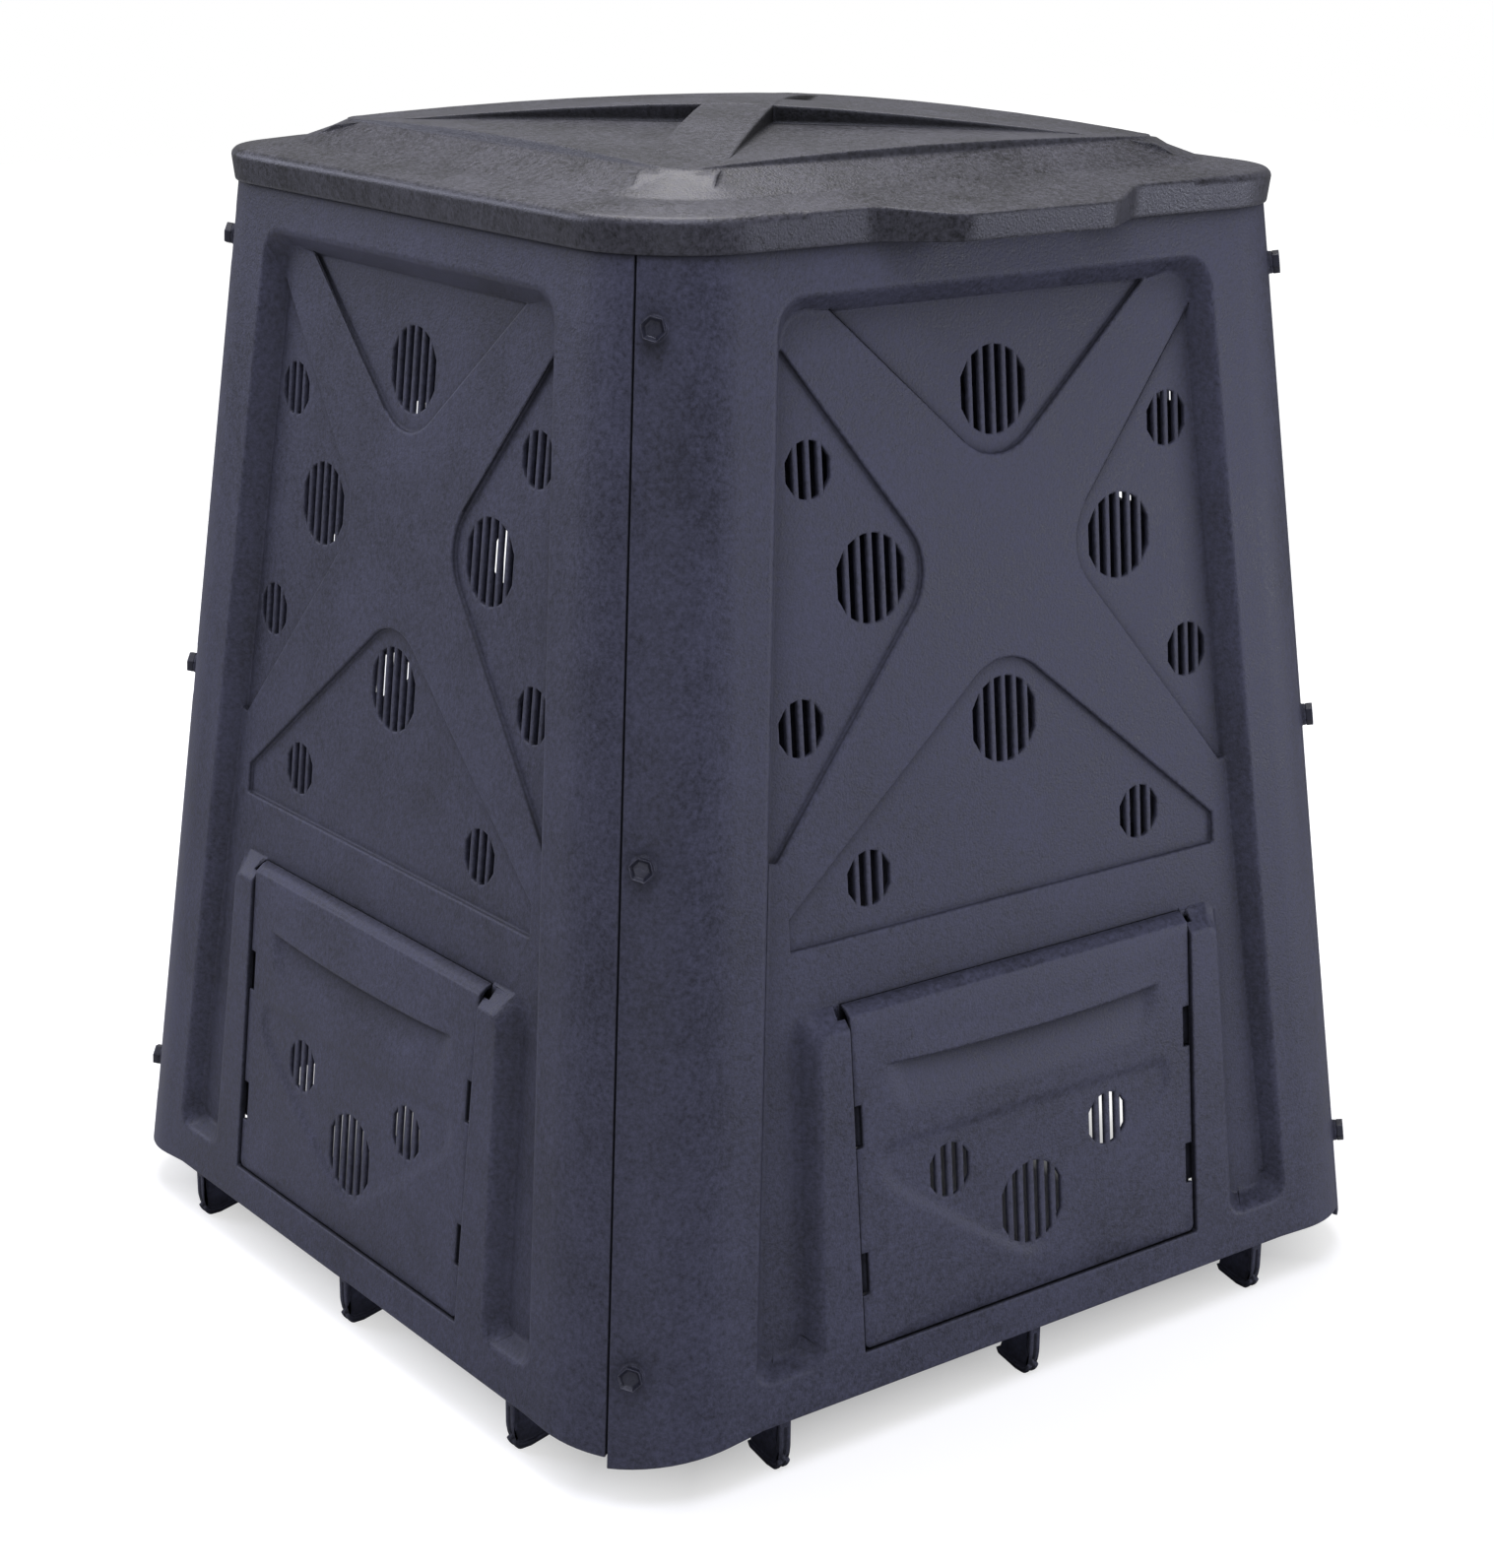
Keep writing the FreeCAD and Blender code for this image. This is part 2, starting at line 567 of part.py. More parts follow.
# The door opening and the grooves in the jambs that the door's hooks run in.
opening = box("opening", Length="2 * jamb_inner", Width="opening_high - sill_up", Height="40",
              x="-jamb_inner", y="sill_up", z="-35")
groove = box("groove", Length="2 * (jamb_inner + wall + 2)", Width="jamb_end + 40 - sill_up",
             Height="groove_far - groove_near", x="-(jamb_inner + wall + 2)", y="sill_up",
             z="-groove_far")
openings = on_face(fused("openings", vents + [opening, groove]))
doc.recompute()
face = cut("face", shell, openings)
doc.recompute()


# The four panels are alike, each turned by a right angle from the last. A panel's left end wraps round
# the corner to the seam. Its right end steps in there and runs on behind the next wrap as a flange.
# Every cutting plane goes through a corner's centre line.
def corner_piece(name, points):
    """A prism along the front left corner's centre line; points are measured from that line."""
    low = "(lower_line - %s)" % MARGIN
    corners = [("-%s + %s" % (centre_at(low), x), "-%s + %s" % (centre_at(low), y)) for x, y in points]
    return along_corner(name, polygon(name + "_outline", corners), -1, -1, low, "(panel_top + %s)" % MARGIN)


def ray(angle, shift="0", reach="half_base"):
    """A point out along an angle from the side face's normal, shifted square to that line."""
    out_x = "-(%s) * cos(%s) - (%s) * sin(%s)" % (reach, angle, shift, angle)
    out_y = "-(%s) * sin(%s) + (%s) * cos(%s)" % (reach, angle, shift, angle)
    return out_x, out_y


front_half = corner_piece("front_half", [("0", "0"), ray("seam_angle"),
                                         ("3 * half_base", ray("seam_angle")[1]), ("3 * half_base", "0")])
STEP_END = "(seam_gap + wall)"
side_half = corner_piece("side_half", [ray("seam_angle", STEP_END, "0"), ray("seam_angle", STEP_END),
                                       (ray("seam_angle", STEP_END)[0], "3 * half_base"),
                                       (ray("seam_angle", STEP_END, "0")[0], "3 * half_base")])
front_zone = common("front_zone", front_half, turned("end_half", side_half, 90))
step_zone = corner_piece("step_zone", [ray("seam_angle", "seam_gap", "0"), ray("seam_angle", "seam_gap"),
                                       ray("seam_angle", STEP_END), ray("seam_angle", STEP_END, "0")])
lap_zone = corner_piece("lap_zone", [ray("seam_angle", "(seam_gap + wall / 2)", "0"),
                                     ray("seam_angle", "(seam_gap + wall / 2)"),
                                     ray("lap_angle"), ("0", "0")])
FAR = "1.2 * half_base"
lift_cut = extruded("lift_cut", polygon("lift_outline", [
    ("lift_half", "lower_line + lift"),
    (FAR, "lower_line + lift - (%s - lift_half) * tan(end_drop)" % FAR),
    (FAR, "-lower_line"),
    ("-%s" % FAR, "-lower_line"),
    ("-%s" % FAR, "lower_line + lift - (%s - lift_half) * tan(wrap_drop)" % FAR),
    ("-lift_half", "lower_line + lift"),
], UPRIGHT), "3 * half_base", both_ways=True)


# A foot is a T: a flange along its outer and lower edges and a web behind it that runs up to the wall.
def behind(level, depth):
    return "-(half_base - %s * (%s - lower_line)) + %s" % (SLOPE, level, depth)


FOOT_LINE = "-(half_base - foot_back)"


def foot(name, web_points, across):
    pad = FOOT_LINE + " + foot_pad"
    tail = FOOT_LINE + " + foot_depth"
    rise = "(foot_depth - foot_pad) * tan(foot_rise)"
    web_sketch = polygon(name + "_web_outline", [(FOOT_LINE, "0"), (FOOT_LINE, "lower_line + 24")]
                         + web_points + [(tail, rise), (pad, "0")], SIDEWAYS)
    flange_sketch = polygon(name + "_flange_outline", [
        (FOOT_LINE, "0"),
        (FOOT_LINE, "lower_line + 20"),
        (FOOT_LINE + " + foot_flange", "lower_line + 20"),
        (FOOT_LINE + " + foot_flange", "foot_flange"),
        (pad, "foot_flange"),
        (tail, rise + " + foot_flange"),
        (tail, rise),
        (pad, "0"),
    ], SIDEWAYS)
    groove_sketch = polygon(name + "_groove_outline", [
        (FOOT_LINE + " - 1", "-1"),
        (FOOT_LINE + " - 1", "lower_line"),
        (FOOT_LINE + " + foot_flange / 3", "lower_line"),
        (FOOT_LINE + " + foot_flange / 3", "foot_flange / 3"),
        (pad, "foot_flange / 3"),
        (tail, rise + " + foot_flange / 3"),
        (tail, "-1"),
    ], SIDEWAYS)
    bend = value("foot_bend")
    flange = value("foot_flange")
    web = filleted(name + "_web", extruded(name + "_web_sharp", web_sketch, "foot_web", both_ways=True),
                   bend, lambda edge: foot_corner(edge, 0))
    sharp = extruded(name + "_flange_sharp", flange_sketch, "foot_width", both_ways=True)
    outside = filleted(name + "_flange_bend", sharp, bend, lambda edge: foot_corner(edge, 0))
    inside = filleted(name + "_flange", outside, bend - flange, lambda edge: foot_corner(edge, flange))
    strip_sharp = extruded(name + "_groove_sharp", groove_sketch, "foot_groove", both_ways=True)
    strip = filleted(name + "_groove", strip_sharp, bend - flange / 3,
                     lambda edge: foot_corner(edge, flange / 3))
    return bind(cut(name, fused(name + "_body", [web, inside]), strip), x=across)


def foot_corner(edge, inward):
    """The edge at the lower outer corner of a foot's profile, moved in along both its sides."""
    spot = middle(edge)
    line = -(value("half_base") - value("foot_back"))
    return abs(spot.y - line - inward) < 0.01 and abs(spot.z - inward) < 0.01


FLOOR_START = "(lower_line + recess_low + 10)"
outer_web = [
    (behind(FLOOR_START, "recess_depth + wall / 2"), FLOOR_START),
    (behind("foot_height", "recess_depth + wall / 2"), "foot_height"),
]
middle_web = [(behind("(lower_line + sill_up)", "recess_depth + 1"), "lower_line + sill_up - wall / 2")]
feet = fused("feet", [
    foot("foot_left", outer_web, "-foot_across"),
    foot("foot_middle", middle_web, "0"),
    foot("foot_right", outer_web, "foot_across"),
])
doc.recompute()


# The bolts stand square to the corner ridges, on the bin's diagonals.
ridge_lean = math.sqrt(2) * inward + (value("corner_base") - value("corner_top")) / (
    value("panel_top") - value("lower_line"))
BOLT_TILT = math.atan(ridge_lean)


def ridge_at(level):
    radius = "(corner_base + (corner_top - corner_base) * (%s - lower_line) / %s)" % (level, RISE)
    return "(sqrt(2) * %s + %s)" % (centre_at(level), radius)


def on_corner(item, side_x, side_y, level):
    """Stand an item, drawn about the z axis from the wall's outer face, on a corner ridge."""
    flat = math.cos(BOLT_TILT) / math.sqrt(2)
    axis = V(side_x * flat, side_y * flat, math.sin(BOLT_TILT))
    item.Placement = FreeCAD.Placement(V(0, 0, 0), FreeCAD.Rotation(V(0, 0, 1), axis))
    ridge = ridge_at(level)
    return bind(item, x="%d * %s / sqrt(2)" % (side_x, ridge), y="%d * %s / sqrt(2)" % (side_y, ridge),
                z=level)


LEVELS = (("low", "bolt_low"), ("mid", "(bolt_low + bolt_step)"), ("high", "(bolt_low + 2 * bolt_step)"))
SEAT_IN = "(2 * wall + lap_gap)"


holes = []
seats = []
for label, level in LEVELS:
    through = cylinder("hole_%s_through" % label, Radius="bolt_hole / 2", Height="60", z="-40")
    spot = cylinder("hole_%s_spot" % label, Radius="spot / 2", Height="20", z="-(%s + 20)" % SEAT_IN)
    holes.append(on_corner(fused("hole_" + label, [through, spot]), -1, -1, level))
    seat = cylinder("seat_%s_raised" % label, Radius="boss / 2", Height="boss_height + wall / 2",
                    z="-wall / 2")
    seats.append(on_corner(placed("seat_" + label, seat), -1, -1, level))
left_holes = fused("left_holes", holes)
doc.recompute()

formed = common("formed", face, front_zone)
step = common("step", cut("step_wall", outer_form, core_form), step_zone)
lap = common("lap", cut("lap_wall", flange_form, core_form), lap_zone)
doc.recompute()
whole = fused("whole", [formed, turned("step_right", step, 90), turned("lap_right", lap, 90)] + seats)
doc.recompute()
trimmed = cut("trimmed", whole, fused("trimmings", [
    lift_cut, left_holes, turned("right_holes", left_holes, 90)]))
front_panel = fused("front_panel", [trimmed, feet])
front_panel.Refine = True
doc.recompute()


# A door is a shallow tray that hangs over the opening. Its upper end bends in to the recess floor, a
# finger grip and a relief are formed in it, and two hooks on each side run in the jambs' grooves.
DOOR_LOW = "(sill_up + door_foot_gap)"
DOOR_HIGH = "(opening_high + door_over)"
DOOR_HALF = "(jamb_inner - door_gap)"
LIP_DEPTH = "(recess_depth - door_lip_gap)"


def door_profile(name, inset, low):
    sharp = extruded(name + "_sharp", polygon(name + "_section", [
        (low, "-(door_back + %s)" % inset),
        ("%s - door_lean - %s" % (DOOR_HIGH, inset), "-(door_back + %s)" % inset),
        ("%s - %s" % (DOOR_HIGH, inset), "-%s" % LIP_DEPTH),
        (low, "-%s" % LIP_DEPTH),
    ], SIDEWAYS), "2 * %s" % DOOR_HALF, both_ways=True)
    bend = value("door_bend") - (value("door_wall") if inset != "0" else 0)
    face_level = -value("door_back") - (value("door_wall") if inset != "0" else 0)
    return filleted(name, sharp, bend, lambda edge: door_bend_edge(edge, face_level))


def door_bend_edge(edge, level):
    spot = middle(edge)
    return abs(spot.x) < 0.01 and abs(spot.z - level) < 0.01 and spot.y > value("opening_high")


def scoop(name, inset):
    """The finger grip: a wedge that is deepest at its upper edge."""
    sharp = extruded(name + "_sharp", polygon(name + "_section", [
        ("grip_low - %s" % inset, "-door_back + 1"),
        ("grip_low - %s" % inset, "-door_back - %s" % inset),
        ("grip_up + %s / 2" % inset, "-door_back - grip_depth - %s" % inset),
        ("grip_up + %s" % inset, "-door_back + 1"),
    ], SIDEWAYS), "2 * (grip_half + %s)" % inset, both_ways=True)
    return filleted(name, sharp, value("grip_corner"), scoop_end)


def scoop_end(edge):
    """The two lower ends of the scoop, seen from the front."""
    spot = middle(edge)
    return abs(direction(edge).z) > 0.5 and spot.y < value("grip_low") + 1


def relief(name, inset, level, depth):
    high = "(relief_high + %s)" % inset
    point = "(door_vent_up - (nose + %s) / cos(relief_slope))" % inset
    half = "(%s - %s) / tan(relief_slope)" % (high, point)
    triangle = polygon(name + "_outline", mirrored([(half, high)], [("0", point)]))
    sharp = extruded(name + "_sharp", bind(triangle, z=level), depth)
    nosed = filleted(name + "_nosed", sharp, value("nose"),
                     lambda edge: upright_edge(edge) and abs(middle(edge).x) < 1)
    return filleted(name, nosed, value("relief_corner"), lambda edge: upright_edge(edge) and relief_end(edge))


def upright_edge(edge):
    return abs(direction(edge).z) > 0.5


def relief_end(edge):
    return middle(edge).y > value("relief_high") - 1 and abs(middle(edge).x) > value("relief_high") / 2


door_square = door_profile("door_square", "0", DOOR_LOW)
door_outside = filleted("door_outside", door_square, value("door_corner"),
                        lambda edge: upright_edge(edge) and middle(edge).y < value("opening_high") / 2)
door_inside = door_profile("door_inside", "door_wall", "(%s - 1)" % DOOR_LOW)
tray = cut("door_tray", door_outside, door_inside)
tray = fused("door_tray_formed", [
    tray, scoop("scoop_inside", "door_wall"),
    relief("relief_inside", "door_wall", "-(door_back + door_wall + relief_depth)", "door_wall"),
])
vent_reach = "(door_back + door_wall + relief_depth + 3)"
door_large = grille("door_large", "large_vent", 6, "door_slot_width", vent_reach)
door_small = grille("door_small", "small_vent", 4, "door_slot_width", vent_reach)
cutters = [
    scoop("scoop_outside", "0"),
    relief("relief_outside", "0", "-(door_back + relief_depth)", "relief_depth + 1"),
    placed("door_vent", door_large, y="door_vent_up"),
    placed("door_vent_right", door_small, x="door_small_across", y="door_small_up"),
    placed("door_vent_left", door_small, x="-door_small_across", y="door_small_up"),
]
hooks = []
for label, foot_up in (("low", "hook_low"), ("high", "hook_high")):
    for side, sign in (("right", 1), ("left", -1)):
        start = DOOR_HALF if sign == 1 else "-%s" % DOOR_HALF
        cutters.append(box("window_%s_%s" % (label, side), Length="window_width", Width="hook_length",
                           Height="door_wall + 2", x=start + (" - window_width" if sign == 1 else ""),
                           y=foot_up, z="-(door_back + door_wall) - 1"))
        root = box("hook_root_%s_%s" % (label, side), Length="door_wall", Width="hook_length",
                   Height="groove_far - hook_clear - door_back - door_wall / 2",
                   x=start + (" - window_width - door_wall" if sign == 1 else " + window_width"),
                   y=foot_up, z="-(groove_far - hook_clear)")
        toe = box("hook_toe_%s_%s" % (label, side), Length="window_width + 1 + door_gap + hook_reach",
                  Width="hook_length", Height="groove_far - groove_near - 2 * hook_clear",
                  x=start + (" - window_width - 1" if sign == 1 else " - door_gap - hook_reach"),
                  y=foot_up, z="-(groove_far - hook_clear)")
        hooks += [root, toe]
front_door = on_face(fused("front_door", [cut("door_cut", tray, fused("door_cutters", cutters))] + hooks))
front_door.Refine = True
doc.recompute()

# The lid is one moulded cover. Profiles are run straight along the sides and turned round the corners:
# first the skirt with its flange, then the raised middle part.
LIFT_OUT = "(shoulder_high - flange_high) / (flange_inner - shoulder_half)"


def lid_round(name, points, centre):
    """A square block with rounded corners whose section is given from the middle outwards."""
    both = points + [("-(%s)" % x, z) for x, z in reversed(points)]
    runs = []
    for label, turn in (("alongside", UPRIGHT), ("across", SIDEWAYS)):
        section = polygon("%s_%s_section" % (name, label), both, turn)
        runs.append(extruded("%s_%s" % (name, label), section, "2 * %s" % centre, both_ways=True))
    corner_sketch = polygon(name + "_corner_section", [("0", points[0][1])] + [
        ("%s - %s" % (x, centre), z) for x, z in points] + [("0", points[-1][1])], UPRIGHT)
    round_corner = doc.addObject("Part::Revolution", name + "_turned")
    round_corner.Source = corner_sketch
    round_corner.Axis = V(0, 0, 1)
    round_corner.Base = V(0, 0, 0)
    round_corner.Angle = 360
    round_corner.Solid = True
    for label, side_x, side_y in (("a", "", ""), ("b", "-", ""), ("c", "", "-"), ("d", "-", "-")):
        runs.append(placed("%s_corner_%s" % (name, label), round_corner,
                           x=side_x + centre, y=side_y + centre))
    return fused(name, runs)


def lid_skirt(name, inset):
    low = "skirt_low" if inset == "0" else "(skirt_low - 1)"
    side = "(lid_half - %s)" % inset
    down = "%s / cos(atan((flange_high - skirt_high) / (lid_half - skirt_edge - flange_inner)))" % inset
    edge = "skirt_edge" if inset == "0" else "skirt_edge / 2"
    return lid_round(name, [
        (side, low),
        (side, "skirt_high - %s - %s" % (edge, down)),
        ("%s - %s" % (side, edge), "skirt_high - %s" % down),
        ("flange_inner", "flange_high - %s" % down),
    ], "(lid_half - lid_corner)")


def lid_raised(name, inset):
    """The raised part: its sides run up to a rim, and two crossing barrels crown its top."""
    down = "%s * cos(atan(%s))" % (inset, LIFT_OUT)
    back = "%s * sin(atan(%s))" % (inset, LIFT_OUT)
    block = lid_round(name + "_block", [
        ("flange_inner + 12 - %s" % back, "flange_high - 8 - %s" % down),
        ("flange_inner - 2 - %s" % back, "flange_high + 0.5 - %s" % down),
        ("shoulder_half - %s" % back, "shoulder_high - %s" % down),
        ("rim_half - %s - %s / 3" % (back, inset), "rim_high - %s" % down),
        ("rim_half - rim_lean - %s" % inset, "ridge_high - %s" % down),
    ], "(rim_half - rim_corner)")
    barrels = []
    for label, turn in (("x", UPRIGHT), ("y", SIDEWAYS)):
        line = []
        for part in (1.15, 0.8, 0.55, 0.28):
            line.append(("rim_half * %s" % part, "rim_high + crown * (1 - %s ^ 2) - %s" % (part, inset)))
        low = ("rim_half * 1.15", "skirt_low - 10")
        section = polygon("%s_barrel_%s_section" % (name, label),
                          mirrored([low] + line, [("0", "rim_high + crown - %s" % inset)]), turn)
        barrels.append(extruded("%s_barrel_%s" % (name, label), section, "3 * rim_half", both_ways=True))
    return common(name, block, fused(name + "_barrels", barrels))


def ridge(name, inset, angle):
    """A flat-topped diagonal ridge that arches from corner to corner."""
    down = "(rim_high - 9 - %s)" % inset
    line = [("(ridge_out + ridge_run) * sqrt(2) - %s" % inset, down)]
    for part in (1, 0.88, 0.75, 0.6, 0.42, 0.22):
        line.append(("ridge_out * %s * sqrt(2) - %s / 2" % (part, inset),
                     "ridge_high - ridge_fall * %s ^ 1.5 - %s" % (part, inset)))
    section = polygon(name + "_section", mirrored(line, [("0", "ridge_high - %s" % inset)]),
                      FreeCAD.Rotation(V(0, 0, 1), angle).multiply(UPRIGHT))
    return extruded(name, section, "ridge_width - 2 * %s" % inset, both_ways=True)


def lid_grip(name, inset):
    """The bulge of the skirt at the middle of a side, with its edge on the flange's slope."""
    low = "skirt_low" if inset == "0" else "(skirt_low - 1)"
    shift = "%s * tan(atan(bulge_reach / (bulge_half - bulge_front)) / 2)" % inset
    side = "-(lid_half - %s)" % inset
    front = "-(lid_half + bulge_reach - %s)" % inset
    plan = polygon(name + "_plan", mirrored([
        ("bulge_half * 1.5", "-(lid_half - 20)"),
        ("bulge_half * 1.5", side),
        ("bulge_half - %s" % shift, side),
        ("bulge_front - %s" % shift, front),
    ]))
    sharp = extruded(name + "_sharp", bind(plan, z=low), "60")
    inner = WALL if inset != "0" else 0
    hollow = filleted(name + "_hollow", sharp, value("bulge_bend") + inner,
                      lambda edge: grip_edge(edge, value("lid_half") - inner))
    rounded = filleted(name + "_rounded", hollow, value("bulge_bend") - inner,
                       lambda edge: grip_edge(edge, value("lid_half") + value("bulge_reach") - inner))
    slope = "((flange_high - skirt_high) / (lid_half - skirt_edge - flange_inner))"
    down = "%s / cos(atan(%s))" % (inset, slope)
    far = "(lid_half + bulge_reach + 10)"
    under = extruded(name + "_under", polygon(name + "_under_section", [
        ("-(flange_inner + 4)", "skirt_low - 10"),
        ("-(flange_inner + 4)", "flange_high - 4 * %s - %s" % (slope, down)),
        ("-%s" % far, "flange_high - (%s - flange_inner) * %s - %s" % (far, slope, down)),
        ("-%s" % far, "skirt_low - 10"),
    ], SIDEWAYS), "4 * bulge_half", both_ways=True)
    return common(name, rounded, under)


def grip_edge(edge, distance):
    """An upright edge of the grip at a distance from the middle, other than its two ends."""
    spot = middle(edge)
    along = abs(direction(edge).z) > 0.9
    return along and abs(spot.y + distance) < 0.01 and abs(spot.x) < value("bulge_half") * 1.2


lid_parts = {}
for label, inset in (("lid_outside", "0"), ("lid_inside", "wall")):
    grip = lid_grip(label + "_grip", inset)
    lid_parts[label] = fused(label, [
        lid_skirt(label + "_skirt", inset), lid_raised(label + "_raised", inset),
        ridge(label + "_ridge_one", inset, 45), ridge(label + "_ridge_two", inset, -45),
        grip, flipped(label + "_grip_back", grip, (0, 1, 0))])
lid = cut("lid", lid_parts["lid_outside"], lid_parts["lid_inside"])
lid.Refine = True
doc.recompute()


# Fasteners: a hexagon bolt through every lap, and a hexagon nut inside it.
fasteners = []
for corner_name, side_x, side_y in (("front_left", -1, -1), ("front_right", 1, -1),
                                    ("back_left", -1, 1), ("back_right", 1, 1)):
    for label, level in LEVELS:
        name = "bolt_%s_%s" % (corner_name, label)
        shank = cylinder(name + "_shank", Radius="shank / 2", Height="bolt_length",
                         z="boss_height - bolt_length")
        head = bind(doc.addObject("Part::Prism", name + "_head"), Circumradius="hex_flats / sqrt(3)",
                    Height="head_height", z="boss_height")
        head.Polygon = 6
        fasteners.append(on_corner(fused(name, [shank, head]), side_x, side_y, level))
        name = "nut_%s_%s" % (corner_name, label)
        nut = bind(doc.addObject("Part::Prism", name + "_hexagon"), Circumradius="hex_flats / sqrt(3)",
                   Height="nut_height", z="-%s - nut_height" % SEAT_IN)
        nut.Polygon = 6
        bore = cylinder(name + "_bore", Radius="shank / 2 + thread_clear", Height="40", z="-30")
        fasteners.append(on_corner(cut(name, nut, bore), side_x, side_y, level))

right_panel = turned("right_panel", front_panel, 90)
back_panel = turned("back_panel", front_panel, 180)
left_panel = turned("left_panel", front_panel, 270)
right_door = turned("right_door", front_door, 90)
back_door = turned("back_door", front_door, 180)
left_door = turned("left_door", front_door, 270)
doc.recompute()
subparts = [front_panel, back_panel, left_panel, right_panel,
            front_door, back_door, left_door, right_door, lid] + fasteners

failed = [item.Name for item in doc.Objects if "Invalid" in item.State or "Error" in item.State]
for item in subparts:
    item.Label = item.Name
    if item.Shape.isNull() or not item.Shape.isValid():
        failed.append(item.Label)
if failed:
    raise RuntimeError("these objects failed: " + ", ".join(failed))
os.makedirs("parts", exist_ok=True)
for item in subparts:
    item.Shape.exportStep("parts/%s.step" % item.Label)
    box_size = item.Shape.BoundBox
    print("%-26s %d solid, %.1f cm3, %.0f x %.0f x %.0f" % (
        item.Label, len(item.Shape.Solids), item.Shape.Volume / 1000, box_size.XLength, box_size.YLength,
        box_size.ZLength))
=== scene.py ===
import math

import bmesh
import bpy
from mathutils import Matrix, Vector


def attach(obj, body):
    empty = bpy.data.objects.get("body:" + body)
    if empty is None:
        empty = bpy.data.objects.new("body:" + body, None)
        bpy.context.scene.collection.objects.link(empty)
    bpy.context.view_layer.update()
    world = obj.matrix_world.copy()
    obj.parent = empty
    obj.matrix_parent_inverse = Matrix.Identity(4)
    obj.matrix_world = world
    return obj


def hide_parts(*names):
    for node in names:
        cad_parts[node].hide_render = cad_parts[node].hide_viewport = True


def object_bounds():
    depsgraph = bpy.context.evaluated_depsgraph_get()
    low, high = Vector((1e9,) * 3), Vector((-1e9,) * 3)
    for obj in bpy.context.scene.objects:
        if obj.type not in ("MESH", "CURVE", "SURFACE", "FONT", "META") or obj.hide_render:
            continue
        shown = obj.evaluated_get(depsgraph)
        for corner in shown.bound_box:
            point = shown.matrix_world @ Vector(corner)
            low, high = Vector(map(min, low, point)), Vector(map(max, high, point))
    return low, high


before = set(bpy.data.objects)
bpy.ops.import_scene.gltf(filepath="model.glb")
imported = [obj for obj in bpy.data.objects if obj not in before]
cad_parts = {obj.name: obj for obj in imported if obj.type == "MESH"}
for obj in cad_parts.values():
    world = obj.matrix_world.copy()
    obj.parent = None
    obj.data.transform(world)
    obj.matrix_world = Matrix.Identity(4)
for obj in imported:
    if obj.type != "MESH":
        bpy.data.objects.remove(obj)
cad_low, cad_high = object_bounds()


# The camera stands off the bin's front left corner, level with a grown person's chest. It looks down a
# little, so that both near panels and the top of the lid show, and the longer side of its picture is
# the height.
camera_place = Vector((-1.2515, -1.6585, 0.9874))
camera_azimuth = math.radians(-37.24)
camera_elevation = math.radians(17.59)
camera_roll = math.radians(0.55)
lens_length = 69.33
picture_side = 36
nearest_seen = 0.05

back = Vector((
    math.sin(camera_azimuth) * math.cos(camera_elevation),
    -math.cos(camera_azimuth) * math.cos(camera_elevation),
    math.sin(camera_elevation),
))
level_right = (-back).cross(Vector((0, 0, 1))).normalized()
level_up = level_right.cross(-back)
right = math.cos(camera_roll) * level_right + math.sin(camera_roll) * level_up
up = -math.sin(camera_roll) * level_right + math.cos(camera_roll) * level_up
camera_data = bpy.data.cameras.new("camera")
camera_data.lens = lens_length
camera_data.sensor_width = picture_side
camera_data.clip_start = nearest_seen
camera = bpy.data.objects.new("camera", camera_data)
camera.matrix_world = Matrix((right, up, back)).transposed().to_4x4()
camera.location = camera_place
bpy.context.scene.collection.objects.link(camera)
bpy.context.scene.camera = camera


# The four wall panels are injection mouldings of recycled polyethylene, 3.5 mm thick. Each has a frame, a
# recessed middle with deeper pockets round its vents, and two ribs beside its door. The mould was
# spark-eroded, so the plastic has a fine grain, and its edges are slightly rounded.
grain_per_metre = 620
grain_height = 0.0006
speckle_per_metre = 300
speckle_weight = 1.8
mottle_per_metre = 14
mottle_low = 1.05
mottle_high = 1.75
roughness_swing = 0.1
# Painted shade: ambient occlusion out to the first distance below darkens the plastic's colour in hollows,
# creases and under overhangs, down to the tone below. The three values after it make those places rougher.
hollow_reach = 0.03
painted_shade_closed = 0.45
painted_shade_open = 0.97
painted_shade_tone = 0.08
dull_closed = 0.3
dull_open = 0.95
dull_gain = 0.3
# The next two values set where the painted edge highlight begins and where it is full, as the softened normal
# turns away from the true one.
edge_highlight_from = 0.99
edge_highlight_full = 0.86
specular_level = 0.4
face_weight = 60
weld_gap = 0.00002
flat_angle = math.radians(0.4)
shortest_fold = 0.0004
smallest_face = 0.00000004
edge_round = 0.0007
pocket_round = 0.0013
pocket_step = 0.003
pocket_slack = 0.0002
steep_wall = 0.15
slope_round = 0.003
slope_shortest = 0.0015
slope_slack = 0.0003
slope_tilt_low = 0.45
slope_tilt_high = 0.8
flat_tilt = 0.99
floor_depth = 0.012
face_lean = math.atan(0.10216)
fold_angle = math.radians(38)
foot_line = 0.3406
wall_low = 0.031
foot_across = 0.211
foot_half = 0.006
foot_root = 0.008
foot_bend = 0.05
foot_taper = 0.5


def add_node(tree, kind, **settings):
    """A node with its inputs set: a value is stored and a socket is linked."""
    node = tree.nodes.new(kind)
    for name, setting in settings.items():
        if hasattr(node, name):
            setattr(node, name, setting)
            continue
        socket = node.inputs[int(name[1:])] if name[1:].isdigit() else node.inputs[name.replace("_", " ")]
        if isinstance(setting, bpy.types.NodeSocket):
            tree.links.new(setting, socket)
        else:
            socket.default_value = setting
    return node


